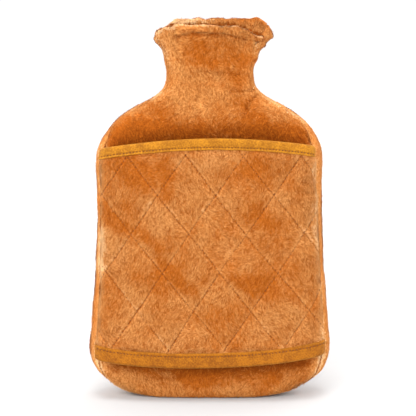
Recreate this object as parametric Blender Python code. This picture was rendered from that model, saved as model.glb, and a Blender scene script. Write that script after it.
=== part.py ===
"""Plush cover for a hot water bottle, with a quilted hand pocket, standing on its base.

Every piece is cut flat in a pattern, given its thickness, and then laid on one form: a soft hollow
bottle shape that a short table describes, one row for each ring round the body.

The front looks along -Y and +Z is up.  The origin lies on the ground under the middle of the piece.
Sizes are in millimetres; they become metres when a piece is laid on the form.
"""

import math
from typing import NamedTuple

import bmesh
import bpy
import numpy as np
from mathutils import Vector

MM = 0.001

# --- cloth -------------------------------------------------------------------------------------
PLUSH = 3.0             # thickness of the plush
COLLAR_HEM = 6.5        # thickness where the collar is turned down on itself
RIM_ROUNDING = 0.55     # share of that thickness left at the very top of the rim
SEAM_GAP = 0.36         # clearance between the two panels along their seam
SEAM_TUCK = 2.4         # how far the side seam pulls both panels in beside the pocket
SEAM_TUCK_WIDTH = 5.0
SEAM_TUCK_RISE = (8.0, 40.0)    # heights over which that pull sets in
FOLDS_RISE = (2.0, 14.0)        # heights over which the folds set in, clear of the flat base

# --- quilted pocket ----------------------------------------------------------------------------
POCKET_GAP = 7.8        # room for a hand between the body and the pocket
POCKET_SEAM_GAP = 0.6   # where the side seams hold the pocket down
POCKET_THIN = 2.6       # padded cloth in a stitch line
POCKET_THICK = 4.6      # padded cloth in the middle of a diamond
POCKET_TAPED = 2.2      # padded cloth pressed flat under the tapes
PUFF_WIDTH = 6.5        # how far from a stitch line the padding has filled out
POCKET_ARCH = 4.0       # how squarely the pocket arches off the body between its seams
POCKET_LEVELS = (66.0, 214.0)   # above and below these heights it hangs straight
POCKET_SIDE_SHARE = 0.06        # share of its half width that is pressed flat at each seam
POCKET_TUCK_SHARE = 0.08        # share of its half width that the side seam pulls in
QUILT_FIRST_LINES = (-5, -3)    # stitch lines of the two families, just past its low corner
QUILT_LAST_LINES = (3, 6)       # and just past its high one
QUILT_WIDTH = 51.5      # a diamond, side to side
QUILT_HALF_HEIGHT = 35.2        # from one row of crossings to the next
QUILT_TOP = 225.0       # height of the first row of crossings
QUILT_SPLITS = 4        # faces along each side of a diamond
QUILT_DRIFT = (4.35, 10.0, 1.4)     # sideways start, total drift down the pocket, and its curve
QUILT_DEPTH = 176.0     # height over which the rows drift

# --- edges of the pocket: height at the middle line of the sides, tilt, and bow at the centre ---
TOP_EDGE = (229.8, 1.3, 8.3)
BOTTOM_EDGE = (41.2, 2.4, -6.5)

# --- binding tapes -----------------------------------------------------------------------------
TAPE = 1.0              # thickness of the tape
TAPE_CLEAR = 0.5        # clearance between a tape and the cloth it wraps
TOP_TAPE_WIDTH = 7.6
BOTTOM_TAPE_WIDTH = 11.6
TAPE_INNER_SHORT = 1.5  # the leg inside the pocket is this much shorter
TAPE_SEAM_LIFT = 1.5    # extra room between pocket and body for the inner leg, at the seams
LIFT_FADE = (12.0, 26.0)        # distances from an edge over which that extra room fades out
PRESS_FADE = (1.5, 6.0)         # distances from a tape over which the padding fills out


class Ring(NamedTuple):
    """One ring round the form: heights, half widths, depths and how square it is."""
    left_z: float
    right_z: float
    front_z: float
    back_z: float
    left: float
    right: float
    front: float
    back: float
    square: float


RINGS = (
    #    height at              half width     depth         square
    #    left  right front back  left   right   front  back
    Ring(0.0, 0.0, 0.0, 0.0,     62.0, 57.0,    0.15, 0.15,  2.0),    # seam under the base
    Ring(0.2, 0.3, 0.0, 0.0,     67.0, 62.5,    9.5, 8.5,    2.2),
    Ring(1.2, 1.8, 0.0, 0.0,     73.5, 70.0,    18.0, 16.5,  2.4),    # edge of the flat base
    Ring(5.0, 6.0, 3.0, 3.0,     83.0, 82.0,    21.5, 22.0,  2.6),
    Ring(13.0, 14.0, 11.0, 11.0, 95.5, 95.5,    22.8, 25.2,  2.8),
    Ring(24.0, 24.0, 23.0, 23.0, 106.2, 106.2,  23.6, 27.0,  3.0),
    Ring(42.0, 42.0, 42.0, 42.0, 112.0, 112.0,  24.8, 28.8,  3.2),    # widest, low on the body
    Ring(66.0, 66.0, 66.0, 66.0, 110.6, 111.0,  26.4, 29.8,  3.3),
    Ring(100.0, 100.0, 100.0, 100.0, 107.6, 108.0, 27.0, 30.0, 3.3),
    Ring(145.0, 145.0, 145.0, 145.0, 105.3, 105.3, 27.0, 30.0, 3.3),
    Ring(190.0, 190.0, 190.0, 190.0, 104.2, 103.6, 27.0, 30.0, 3.3),  # waist
    Ring(218.0, 218.0, 218.0, 218.0, 105.0, 104.6, 26.2, 29.6, 3.2),
    Ring(233.0, 233.0, 233.0, 233.0, 102.6, 102.6, 24.8, 28.8, 3.0),
    Ring(247.0, 247.0, 247.0, 247.0, 95.0, 95.4,  23.2, 27.2, 2.75),
    Ring(259.0, 259.0, 259.0, 259.0, 84.6, 85.4,  21.6, 25.2, 2.55),  # shoulders
    Ring(269.0, 269.0, 269.0, 269.0, 69.4, 70.4,  20.0, 23.0, 2.4),
    Ring(278.0, 278.0, 278.0, 278.0, 52.2, 53.2,  18.4, 20.8, 2.25),
    Ring(287.0, 287.0, 287.0, 287.0, 42.8, 43.6,  17.2, 19.2, 2.15),
    Ring(299.0, 299.0, 299.0, 299.0, 40.1, 40.7,  16.8, 18.6, 2.1),   # narrowest, on the neck
    Ring(311.0, 311.0, 311.0, 312.0, 42.0, 42.6,  17.4, 19.0, 2.1),
    Ring(319.0, 320.0, 322.0, 324.0, 43.9, 44.8,  18.6, 20.2, 2.1),
    Ring(325.0, 327.0, 331.0, 335.0, 47.6, 50.4,  20.4, 22.2, 2.1),   # collar turns out
    Ring(332.0, 336.5, 337.0, 344.0, 51.2, 58.6,  21.6, 23.6, 2.1),   # drooping ears
    Ring(339.5, 344.0, 341.5, 350.8, 50.4, 57.6,  21.0, 23.0, 2.1),   # rim
)
LAST_ROW = len(RINGS) - 1
LEVEL_ROW = 6.0         # from this row up, the rings of the body lie level
SEAM_LEAVES_BASE = 3.0  # below this row the two panels meet on the middle line
HEM_ROWS = (20.6, 21.8)     # rows over which the collar's hem thickens
HEM_EASE = (0.15, 0.60)     # and it thins again toward the tips of the ears
FLAT_SHARE = 0.55       # share of a ring's half width that keeps the height of its middle
BODY_ROW = 9            # a ring at the full depth of the body
NOTCH_ROW = 20.0        # above this row the rim dips at its seams
NOTCH_WIDTH = 7.0
LEFT_NOTCH = 2.0
RIGHT_NOTCH = 9.0


class Strip(NamedTuple):
    """How much of the back panel shows from the front, outside each side seam."""
    height: float
    left: float
    right: float


STRIPS = (
    Strip(5.0, 0.0, 0.0),
    Strip(24.0, 5.0, 6.0),
    Strip(45.0, 8.0, 7.4),
    Strip(92.0, 6.8, 5.4),
    Strip(184.0, 4.6, 5.4),
    Strip(224.0, 6.0, 10.0),
    Strip(240.0, 5.0, 6.5),
    Strip(262.0, 4.0, 4.5),
    Strip(288.0, 2.5, 3.0),
    Strip(318.0, 2.0, 4.5),
    Strip(332.0, 2.4, 9.0),
    Strip(350.0, 2.4, 9.5),
)


class Fold(NamedTuple):
    """A soft ridge (height above 0) or trough (below 0) from one point to another."""
    start: tuple
    end: tuple
    width: float
    height: float


FRONT_FOLDS = (
    Fold((-18.0, 303.0), (37.0, 303.0), 6.0, 1.3),       # ridge round the neck
    Fold((41.0, 283.0), (30.0, 268.0), 6.0, -1.6),       # neck turning into the right shoulder
    Fold((-40.0, 284.0), (-33.0, 271.0), 6.0, -1.1),     # and into the left one
    Fold((26.0, 258.0), (58.0, 255.0), 7.0, 1.4),
    Fold((-61.0, 17.0), (-20.0, 25.0), 7.0, -1.5),       # crease low on the body
    Fold((26.0, 24.0), (64.0, 18.0), 7.0, -0.9),
)
BACK_FOLDS = (
    Fold((-30.0, 276.0), (34.0, 279.0), 9.0, -1.2),
    Fold((-70.0, 236.0), (-38.0, 262.0), 9.0, 1.2),
    Fold((74.0, 240.0), (44.0, 262.0), 9.0, 1.0),
    Fold((-52.0, 22.0), (48.0, 19.0), 8.0, -1.0),
)

# --- how finely each piece is faceted ------------------------------------------------------------
PANEL_ROWS = 33
FRONT_COLUMNS = 20
BACK_COLUMNS = 22
TAPE_COLUMNS = 28
TAPE_ROWS = 8
SIDE_COLUMNS = 2        # of the tapes' columns, how many the pocket shares beside each seam
AT_SEAM = 0.999         # past this share of a piece's half width a vertex is on its cut edge
SNAP = 0.008            # a cut takes in corners this near, as a share of the pattern
SHARP_EDGE = 50         # degrees between two faces from which their edge is sharp

OUTER_DEPTH = RINGS[BODY_ROW].front + POCKET_GAP + POCKET_THICK
CENTRE_Y = (OUTER_DEPTH - RINGS[BODY_ROW].back) / 2    # brings the piece's box over the origin

# --- colours: base colour, roughness, metallic ---------------------------------------------------
PLUSH_FINISH = ((0.50, 0.17, 0.045, 1.0), 0.9, 0.0)
POCKET_FINISH = ((0.56, 0.21, 0.07, 1.0), 0.9, 0.0)
TAPE_FINISH = ((0.62, 0.26, 0.025, 1.0), 0.8, 0.0)


def ease(low, high, value):
    """0 below low, 1 above high, and an even curve between."""
    share = np.clip((value - low) / (high - low), 0.0, 1.0)
    return share * share * (3.0 - 2.0 * share)


# --- the form --------------------------------------------------------------------------------------
def ring_at(row):
    """The ring at each row number, on smooth curves through the table."""
    table = np.array(RINGS)
    low = np.clip(np.floor(row).astype(int), 0, LAST_ROW - 1)
    share = (row - low)[:, None]
    before, start, end, after = (
        table[np.clip(low + step, 0, LAST_ROW)] for step in (-1, 0, 1, 2)
    )
    bend = 2 * before - 5 * start + 4 * end - after
    twist = 3 * (start - end) + after - before
    values = start + 0.5 * ((end - before) * share + bend * share**2 + twist * share**3)
    return Ring(*values.T)


def row_at(height):
    """The row number at each height on the level part of the body."""
    rows = np.linspace(LEVEL_ROW, LAST_ROW, 400)
    return np.interp(height, ring_at(rows).front_z, rows)


def form_point(row, angle):
    """Points on the form.  Angle 0 is the right side, -pi / 2 the front, pi the left side."""
    ring = ring_at(row)
    cosine, sine = np.cos(angle), np.sin(angle)
    reach = (np.abs(cosine) ** ring.square + np.abs(sine) ** ring.square) ** (-1 / ring.square)
    x = np.where(cosine > 0, ring.right, ring.left) * cosine * reach
    y = np.where(sine > 0, ring.back, ring.front) * sine * reach
    middle_z = np.where(sine > 0, ring.back_z, ring.front_z)
    side_z = np.where(cosine > 0, ring.right_z, ring.left_z)
    z = middle_z + (side_z - middle_z) * ease(FLAT_SHARE, 1.0, np.abs(cosine) * reach)
    return np.stack([x, y, np.maximum(z, 0.0)], axis=1)


def form_frame(row, angle):
    """Points on the form, the way round it there, and the way out of it."""
    step = 0.002
    point = form_point(row, angle)
    around = form_point(row, angle + step) - form_point(row, angle - step)
    upward = form_point(row + step, angle) - form_point(row - step, angle)
    outward = np.cross(around, upward)
    around /= np.linalg.norm(around, axis=1, keepdims=True)
    outward /= np.linalg.norm(outward, axis=1, keepdims=True)
    return point, around, outward


def side_angle(share, square):
    """Angle from the side at which a ring reaches this share of its half width."""
    share = np.clip(share, 1e-6, 1.0)
    return np.arctan((share ** -square - 1.0) ** (1 / square))


def seam_angles(row):
    """The angles of the left and the right side seam."""
    ring = ring_at(row)
    heights, left, right = np.array(STRIPS).T
    left_share = 1 - np.interp(ring.left_z, heights, left) / ring.left
    right_share = 1 - np.interp(ring.right_z, heights, right) / ring.right
    return -math.pi + side_angle(left_share, ring.square), -side_angle(right_share, ring.square)


def fold_lift(points, folds):
    """How far the folds lift the cloth at each point."""
    lift = np.zeros(len(points))
    for fold in folds:
        start, end = np.array(fold.start), np.array(fold.end)
        from_start = points[:, (0, 2)] - start
        share = np.clip(from_start @ (end - start) / np.sum((end - start) ** 2), 0.0, 1.0)
        away = np.linalg.norm(from_start - share[:, None] * (end - start), axis=1)
        lift += fold.height * np.exp(-((away / fold.width) ** 2))
    return lift


# --- laying the pieces on the form -----------------------------------------------------------------
def panel_points(across, up, through, front):
    """Lay the front or the back panel: across -1 to 1, up 0 to 1, through 0 outside, 1 inside."""
    row = up * LAST_ROW
    left_seam, right_seam = seam_angles(row)
    if front:
        first, last, folds = left_seam, right_seam, FRONT_FOLDS
    else:
        first, last, folds = right_seam, left_seam + 2 * math.pi, BACK_FOLDS
    angle = first + (last - first) * (across + 1) / 2
    point, around, outward = form_frame(row, angle)

    nearest_seam = np.where(across < 0, first, last)
    from_seam = np.linalg.norm(point - form_point(row, nearest_seam), axis=1)
    pull = np.exp(-((from_seam / SEAM_TUCK_WIDTH) ** 2)) * ease(*SEAM_TUCK_RISE, point[:, 2])
    ring = ring_at(row)
    from_tip = 1 - np.abs(point[:, 0]) / np.where(point[:, 0] > 0, ring.right, ring.left)
    thickness = PLUSH + (COLLAR_HEM - PLUSH) * ease(*HEM_ROWS, row) * ease(*HEM_EASE, from_tip)
    rounding = 1 - (1 - RIM_ROUNDING) * ease(LAST_ROW - 1.0, LAST_ROW, row)
    depth = thickness * (0.5 + (through - 0.5) * rounding)
    lift = fold_lift(point, folds) * ease(*FOLDS_RISE, point[:, 2]) - SEAM_TUCK * pull - depth
    notch = np.where(point[:, 0] < 0, LEFT_NOTCH, RIGHT_NOTCH) * ease(NOTCH_ROW, LAST_ROW, row)
    point[:, 2] -= notch * np.exp(-((from_seam / NOTCH_WIDTH) ** 2))

    at_seam = np.sign(across) * (np.abs(across) > AT_SEAM)
    trim = -at_seam * SEAM_GAP / 2
    laid = point + outward * lift[:, None] + around * trim[:, None]
    if front:
        laid[:, 1] = np.minimum(laid[:, 1], -SEAM_GAP / 2)
    else:
        laid[:, 1] = np.where(row < SEAM_LEAVES_BASE, np.maximum(laid[:, 1], SEAM_GAP / 2), laid[:, 1])
    return laid


def edge_height(edge, across):
    """Height of an edge of the pocket: level at its sides, tilted and bowed."""
    level, tilt, bow = edge
    return level + tilt * across + bow * (1 - across**2)


def seam_widths(height):
    """Where the side seams run at each height of the pocket."""
    row = row_at(height)
    left_seam, right_seam = seam_angles(row)
    return form_point(row, left_seam)[:, 0], form_point(row, right_seam)[:, 0]


def pocket_frame(across, height):
    """Points of the body behind the pocket, the way round it and the way out."""
    left, right = seam_widths(height)
    x = left + (right - left) * (across + 1) / 2
    row = row_at(np.clip(height, *POCKET_LEVELS))
    ring = ring_at(row)
    width_here = ring_at(row_at(height))
    share = np.abs(x) / np.where(x > 0, width_here.right, width_here.left)
    from_side = side_angle(share, ring.square)
    angle = np.where(x > 0, -from_side, -math.pi + from_side)
    point, around, outward = form_frame(row, angle)
    return np.stack([x, point[:, 1], height], axis=1), around, outward


def near_edges(across, height):
    """1 at the pocket's top and bottom edges, fading to 0 inside it."""
    down = edge_height(TOP_EDGE, across) - height
    rise = height - edge_height(BOTTOM_EDGE, across)
    return 1 - ease(*LIFT_FADE, np.minimum(down, rise))


def pocket_stand(across, height):
    """How far the inside of the pocket stands off the body."""
    seam = POCKET_SEAM_GAP + TAPE_SEAM_LIFT * near_edges(across, height)
    tuck = SEAM_TUCK * (1 - ease(0.0, POCKET_TUCK_SHARE, 1 - np.abs(across)))
    return seam + (POCKET_GAP - seam) * (1 - np.abs(across) ** POCKET_ARCH) - tuck


def drift(height):
    """Sideways shift of the quilting, which leans as it runs down the pocket."""
    start, total, curve = QUILT_DRIFT
    return start + total * np.clip((QUILT_TOP - height) / QUILT_DEPTH, 0.0, None) ** curve


def quilt_lines(x, height):
    """Each point's place between the stitch lines of both families; whole numbers are lines."""
    sideways = (x - drift(height)) / QUILT_WIDTH + 0.5
    downward = (QUILT_TOP - height) / QUILT_HALF_HEIGHT / 2
    return sideways - downward, sideways + downward


def padding(x, height):
    """Thickness of the quilted cloth."""
    line_pitch = 1 / math.hypot(1 / QUILT_WIDTH, 0.5 / QUILT_HALF_HEIGHT)
    offsets = [np.abs(lines - np.round(lines)) for lines in quilt_lines(x, height)]
    from_stitch = np.minimum(*offsets) * line_pitch
    puff = 1 - np.exp(-((from_stitch / PUFF_WIDTH) ** 2))
    return POCKET_THIN + (POCKET_THICK - POCKET_THIN) * puff


def on_pocket(across, height, stand):
    """Lay points over the body at a given stand, trimmed at the side seams."""
    point, around, outward = pocket_frame(across, height)
    trim = -np.sign(across) * (np.abs(across) > AT_SEAM) * SEAM_GAP / 2
    return point + outward * stand[:, None] + around * trim[:, None]


def pocket_points(across, up, through):
    """Lay the pocket: across -1 to 1, up 0 to 1, through 0 inside, 1 outside."""
    low, high = edge_height(BOTTOM_EDGE, across), edge_height(TOP_EDGE, across)
    height = low + (high - low) * up
    left, right = seam_widths(height)
    x = left + (right - left) * (across + 1) / 2
    filled = np.minimum(ease(*PRESS_FADE, high - TOP_TAPE_WIDTH - height),
                        ease(*PRESS_FADE, height - low - BOTTOM_TAPE_WIDTH))
    thickness = POCKET_TAPED + (padding(x, height) - POCKET_TAPED) * filled
    at_side = 1 - ease(0.0, POCKET_SIDE_SHARE, 1 - np.abs(across))
    thickness += (POCKET_TAPED - thickness) * at_side
    return on_pocket(across, height, pocket_stand(across, height) + thickness * through)


def tape_points(across, up, through, edge, width, inward):
    """Wrap a tape round an edge of the pocket.

    Up runs over the tape's width: the first quarter is the outer leg, the half in the middle goes
    round the edge, and the last quarter is the inner leg.  Inward is -1 where the pocket lies below
    the edge and 1 where it lies above.
    """
    turn = np.clip(2 * up - 0.5, 0.0, 1.0) * math.pi
    outer_leg = width * np.clip(1 - 4 * up, 0.0, 1.0)
    inner_leg = (width - TAPE_INNER_SHORT) * np.clip(4 * up - 3, 0.0, 1.0)
    radius = POCKET_TAPED / 2 + TAPE_CLEAR + TAPE * through
    edge_z = edge_height(edge, across)
    height = edge_z + inward * (outer_leg + inner_leg - radius * np.sin(turn))
    middle = pocket_stand(across, height) + POCKET_TAPED / 2
    return on_pocket(across, height, middle + radius * np.cos(turn))


# --- cutting and finishing -------------------------------------------------------------------------
def cut_rectangle(columns, rows):
    """A flat cut of cloth, -1 to 1 across and 0 to 1 up."""
    cloth = bmesh.new()
    bmesh.ops.create_grid(cloth, x_segments=columns, y_segments=rows, size=1.0)
    for vertex in cloth.verts:
        vertex.co.y = (vertex.co.y + 1) / 2
    return cloth


def cut_quilt():
    """The pocket's flat cut, faceted along its stitch lines and trimmed to its edges."""
    cloth = bmesh.new()
    first_lines, last_lines = np.array(QUILT_FIRST_LINES), np.array(QUILT_LAST_LINES)
    counts = (last_lines - first_lines) * QUILT_SPLITS
    bmesh.ops.create_grid(cloth, x_segments=int(counts[0]), y_segments=int(counts[1]), size=1.0)
    grid = np.array([vertex.co[:2] for vertex in cloth.verts])
    down_lines, up_lines = (first_lines + (last_lines - first_lines) * (grid + 1) / 2).T
    height = QUILT_TOP - (up_lines - down_lines) * QUILT_HALF_HEIGHT
    x = drift(height) + (down_lines + up_lines - 1) / 2 * QUILT_WIDTH

    left, right = seam_widths(np.clip(height, BOTTOM_EDGE[0], TOP_EDGE[0]))
    across = (2 * x - left - right) / (right - left)
    within = np.clip(across, -1.0, 1.0)
    low, high = edge_height(BOTTOM_EDGE, within), edge_height(TOP_EDGE, within)
    up = (height - low) / (high - low)
    for vertex, place in zip(cloth.verts, np.stack([across, up], axis=1)):
        vertex.co = (place[0], place[1], 0.0)

    pocket_height = TOP_EDGE[0] - BOTTOM_EDGE[0]
    cuts = [
        ((-1.0, 0.0), (-1.0, 0.0), True),
        ((1.0, 0.0), (1.0, 0.0), True),
        ((0.0, 0.0), (0.0, -1.0), True),
        ((0.0, 1.0), (0.0, 1.0), True),
        ((0.0, BOTTOM_TAPE_WIDTH / pocket_height), (0.0, 1.0), False),
        ((0.0, 1 - TOP_TAPE_WIDTH / pocket_height), (0.0, 1.0), False),
    ]
    for column in range(1, SIDE_COLUMNS + 1):
        share = 1 - column * 2 / TAPE_COLUMNS
        cuts += [((-share, 0.0), (-1.0, 0.0), False), ((share, 0.0), (1.0, 0.0), False)]
    for place, way_out, trimmed in cuts:
        bmesh.ops.bisect_plane(
            cloth, geom=cloth.verts[:] + cloth.edges[:] + cloth.faces[:], dist=SNAP,
            plane_co=(*place, 0.0), plane_no=(*way_out, 0.0),
            use_snap_center=True, clear_outer=trimmed,
        )
    return cloth


def material(name, finish):
    """A plain surface with a colour, a roughness and a metallic value."""
    colour, roughness, metallic = finish
    surface = bpy.data.materials.new(name)
    surface.use_nodes = True
    shader = surface.node_tree.nodes["Principled BSDF"]
    shader.inputs["Base Color"].default_value = colour
    shader.inputs["Roughness"].default_value = roughness
    shader.inputs["Metallic"].default_value = metallic
    return surface


def sew(name, cloth, lay, finish):
    """Thicken a flat cut of cloth, lay it with the given function, and add it to the scene."""
    grown = bmesh.ops.extrude_face_region(cloth, geom=cloth.faces[:])["geom"]
    raised = [item for item in grown if isinstance(item, bmesh.types.BMVert)]
    bmesh.ops.translate(cloth, verts=raised, vec=(0.0, 0.0, 1.0))
    pattern = np.array([vertex.co[:] for vertex in cloth.verts])
    places = (lay(*pattern.T) + np.array([0.0, CENTRE_Y, 0.0])) * MM
    for vertex, place in zip(cloth.verts, places):
        vertex.co = Vector(place)
    bmesh.ops.triangulate(cloth, faces=cloth.faces[:], quad_method="SHORT_EDGE")
    bmesh.ops.recalc_face_normals(cloth, faces=cloth.faces[:])

    mesh = bpy.data.meshes.new(name)
    cloth.to_mesh(mesh)
    cloth.free()
    mesh.shade_smooth()
    mesh.set_sharp_from_angle(angle=math.radians(SHARP_EDGE))
    mesh.materials.append(material(f"{name}_cloth", finish))
    piece = bpy.data.objects.new(name, mesh)
    bpy.context.scene.collection.objects.link(piece)
    return piece


def build():
    """Clear the scene and make the five pieces."""
    for leftover in list(bpy.data.objects):
        bpy.data.objects.remove(leftover, do_unlink=True)

    sew("front_panel", cut_rectangle(FRONT_COLUMNS, PANEL_ROWS),
        lambda *pattern: panel_points(*pattern, front=True), PLUSH_FINISH)
    sew("back_panel", cut_rectangle(BACK_COLUMNS, PANEL_ROWS),
        lambda *pattern: panel_points(*pattern, front=False), PLUSH_FINISH)
    sew("hand_pocket", cut_quilt(), pocket_points, POCKET_FINISH)
    sew("pocket_top_binding", cut_rectangle(TAPE_COLUMNS, TAPE_ROWS),
        lambda *pattern: tape_points(*pattern, TOP_EDGE, TOP_TAPE_WIDTH, -1), TAPE_FINISH)
    sew("pocket_bottom_binding", cut_rectangle(TAPE_COLUMNS, TAPE_ROWS),
        lambda *pattern: tape_points(*pattern, BOTTOM_EDGE, BOTTOM_TAPE_WIDTH, 1), TAPE_FINISH)


build()
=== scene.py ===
"""Looks of the plush hot water bottle cover: cloth, pile, quilting, tapes, thread and a studio.

Every piece is cut flat, thickened, and laid on the same soft bottle form as its solid. Sizes are
in millimetres, and become metres when a mesh is written.
"""

import logging
import math
from contextlib import contextmanager
from dataclasses import dataclass, field
from enum import Enum
from typing import Callable, Iterator, NamedTuple

import bpy
import numpy as np
from bpy.types import Material, Mesh, Node, NodeSocket, NodeTree, Object, World
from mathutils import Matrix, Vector


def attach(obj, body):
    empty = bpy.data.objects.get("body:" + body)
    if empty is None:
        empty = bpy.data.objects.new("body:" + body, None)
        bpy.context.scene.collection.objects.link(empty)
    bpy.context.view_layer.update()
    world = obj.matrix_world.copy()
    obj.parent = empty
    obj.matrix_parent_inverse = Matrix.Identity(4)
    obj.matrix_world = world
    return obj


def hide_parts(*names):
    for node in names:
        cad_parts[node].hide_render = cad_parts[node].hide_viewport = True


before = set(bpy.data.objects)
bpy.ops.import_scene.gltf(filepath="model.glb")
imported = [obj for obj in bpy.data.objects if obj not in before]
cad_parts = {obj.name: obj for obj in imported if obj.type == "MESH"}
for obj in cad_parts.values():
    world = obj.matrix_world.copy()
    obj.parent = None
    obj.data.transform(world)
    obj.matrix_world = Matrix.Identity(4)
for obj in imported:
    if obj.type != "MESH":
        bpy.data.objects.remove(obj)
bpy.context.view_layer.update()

Array = np.ndarray
Span = tuple[float, float]      # two values that belong together, such as the ends of a range
LOG = logging.getLogger("bottle_cover")
BAKE_MAP = "OFBake"     # every piece's first UV map
TAPE_MAP = "tape_run"   # metres along and across a tape
MM = 0.001              # metres in a millimetre
TINY = 1e-9             # keeps a division by no length from failing


# --- numbers --------------------------------------------------------------------------------------
def ease(low: float, high: float, value: Array) -> Array:
    """Run from 0 at low to 1 at high on an even curve.

    Args:
        low: Value at which the curve leaves 0.
        high: Value at which it reaches 1.
        value: The values to place on it.

    Returns:
        The curve at each value.
    """
    share = np.clip((value - low) / (high - low), 0.0, 1.0)
    return share * share * (3.0 - 2.0 * share)


def bump(away: Array, width: float) -> Array:
    """A soft bump: 1 where away is 0, fading over the width."""
    return np.exp(-((away / width) ** 2))


def unit(vectors: Array) -> Array:
    """Scale each row to a length of one."""
    return vectors / np.maximum(np.linalg.norm(vectors, axis=1, keepdims=True), TINY)


@dataclass
class SoftNoise:
    """Smooth random numbers over space, from -1 to 1, the same on every run.

    Attributes:
        seed: Start of the random numbers.
        size: Distance over which they change, in millimetres.
        parts: How many numbers there are at each point.
        cells: Cells along each side of the lattice, after which it repeats.
        turn: Turns the lattice, so that its planes don't lie along the cover's.
    """
    seed: int
    size: float
    parts: int = 1
    cells: int = 48
    turn: tuple[tuple[float, ...], ...] = (
        (0.36, 0.48, -0.80), (-0.80, 0.60, 0.00), (0.48, 0.64, 0.60),
    )

    def __post_init__(self) -> None:
        """Fill the lattice."""
        grid = (self.cells,) * 3 + (self.parts,)
        self.lattice = np.random.default_rng(self.seed).uniform(-1.0, 1.0, grid)

    def at(self, points: Array) -> Array:
        """Read the noise.

        Args:
            points: Places, one row each.

        Returns:
            One number for each point, or one row of parts.
        """
        place = points @ np.array(self.turn) / self.size
        low = np.floor(place).astype(int)
        share = ease(0.0, 1.0, place - low)
        total = np.zeros((len(points), self.parts))
        for corner in np.ndindex(2, 2, 2):
            weight = np.prod(np.where(corner, share, 1.0 - share), axis=1)
            cell = (low + corner) % self.cells
            total += weight[:, None] * self.lattice[cell[:, 0], cell[:, 1], cell[:, 2]]
        return total[:, 0] if self.parts == 1 else total


def noise(seed: int, size: float, parts: int = 1) -> SoftNoise:
    """A dataclass field that holds soft noise."""
    return field(default_factory=lambda: SoftNoise(seed, size, parts))


# --- the form that the cover is laid on -----------------------------------------------------------
class Ring(NamedTuple):
    """One ring round the form: heights, half widths, depths and how square it is."""
    left_z: float
    right_z: float
    front_z: float
    back_z: float
    left: float
    right: float
    front: float
    back: float
    square: float


class Strip(NamedTuple):
    """How much of the back panel shows from the front, outside each side seam, at a height."""
    height: float
    left: float
    right: float


class Crease(NamedTuple):
    """A soft ridge (height above 0) or trough (below 0) along a path of points (x, z)."""
    path: tuple[Span, ...]
    width: float
    height: float


RINGS = (
    #    height at              half width     depth         square
    #    left  right front back  left   right   front  back
    Ring(0.0, 0.0, 0.0, 0.0,     62.0, 57.0,    0.15, 0.15,  2.0),    # seam under the base
    Ring(0.2, 0.3, 0.0, 0.0,     67.0, 62.5,    9.5, 8.5,    2.2),
    Ring(1.2, 1.8, 0.0, 0.0,     73.5, 70.0,    18.0, 16.5,  2.4),    # edge of the flat base
    Ring(5.0, 6.0, 3.0, 3.0,     83.0, 82.0,    21.5, 22.0,  2.6),
    Ring(13.0, 14.0, 11.0, 11.0, 95.5, 95.5,    22.8, 25.2,  2.8),
    Ring(24.0, 24.0, 23.0, 23.0, 106.2, 106.2,  23.6, 27.0,  3.0),
    Ring(42.0, 42.0, 42.0, 42.0, 112.0, 112.0,  24.8, 28.8,  3.2),    # widest, low on the body
    Ring(66.0, 66.0, 66.0, 66.0, 110.6, 111.0,  26.4, 29.8,  3.3),
    Ring(100.0, 100.0, 100.0, 100.0, 107.6, 108.0, 27.0, 30.0, 3.3),
    Ring(145.0, 145.0, 145.0, 145.0, 105.3, 105.3, 27.0, 30.0, 3.3),
    Ring(190.0, 190.0, 190.0, 190.0, 104.2, 103.6, 27.0, 30.0, 3.3),  # waist
    Ring(218.0, 218.0, 218.0, 218.0, 105.0, 104.6, 26.2, 29.6, 3.2),
    Ring(233.0, 233.0, 233.0, 233.0, 102.6, 102.6, 24.8, 28.8, 3.0),
    Ring(247.0, 247.0, 247.0, 247.0, 95.0, 95.4,  23.2, 27.2, 2.75),
    Ring(259.0, 259.0, 259.0, 259.0, 84.6, 85.4,  21.6, 25.2, 2.55),  # shoulders
    Ring(269.0, 269.0, 269.0, 269.0, 69.4, 70.4,  20.0, 23.0, 2.4),
    Ring(278.0, 278.0, 278.0, 278.0, 52.2, 53.2,  18.4, 20.8, 2.25),
    Ring(287.0, 287.0, 287.0, 287.0, 42.8, 43.6,  17.2, 19.2, 2.15),
    Ring(299.0, 299.0, 299.0, 299.0, 40.1, 40.7,  16.8, 18.6, 2.1),   # narrowest, on the neck
    Ring(311.0, 311.0, 311.0, 312.0, 42.0, 42.6,  17.4, 19.0, 2.1),
    Ring(319.0, 320.0, 322.0, 324.0, 43.9, 44.8,  18.6, 20.2, 2.1),
    Ring(325.0, 327.0, 331.0, 335.0, 47.6, 50.4,  20.4, 22.2, 2.1),   # collar turns out
    Ring(332.0, 336.5, 337.0, 344.0, 51.2, 58.6,  21.6, 23.6, 2.1),   # drooping ears
    Ring(339.5, 344.0, 341.5, 350.8, 50.4, 57.6,  21.0, 23.0, 2.1),   # rim
)
LAST_ROW = len(RINGS) - 1
STRIPS = (
    Strip(5.0, 0.0, 0.0),
    Strip(24.0, 5.0, 6.0),
    Strip(45.0, 8.0, 7.4),
    Strip(92.0, 6.8, 5.4),
    Strip(184.0, 4.6, 5.4),
    Strip(224.0, 6.0, 10.0),
    Strip(240.0, 5.0, 6.5),
    Strip(262.0, 4.0, 4.5),
    Strip(288.0, 2.5, 3.0),
    Strip(318.0, 2.0, 4.5),
    Strip(332.0, 2.4, 9.0),
    Strip(350.0, 2.4, 9.5),
)
BODY_ROW = 9            # a ring at the full depth of the body
POCKET_GAP = 7.8        # room for a hand between the body and the pocket
POCKET_THICK = 4.6      # padded cloth in the middle of a diamond
CENTRE_Y = (RINGS[BODY_ROW].front + POCKET_GAP + POCKET_THICK - RINGS[BODY_ROW].back) / 2
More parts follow.
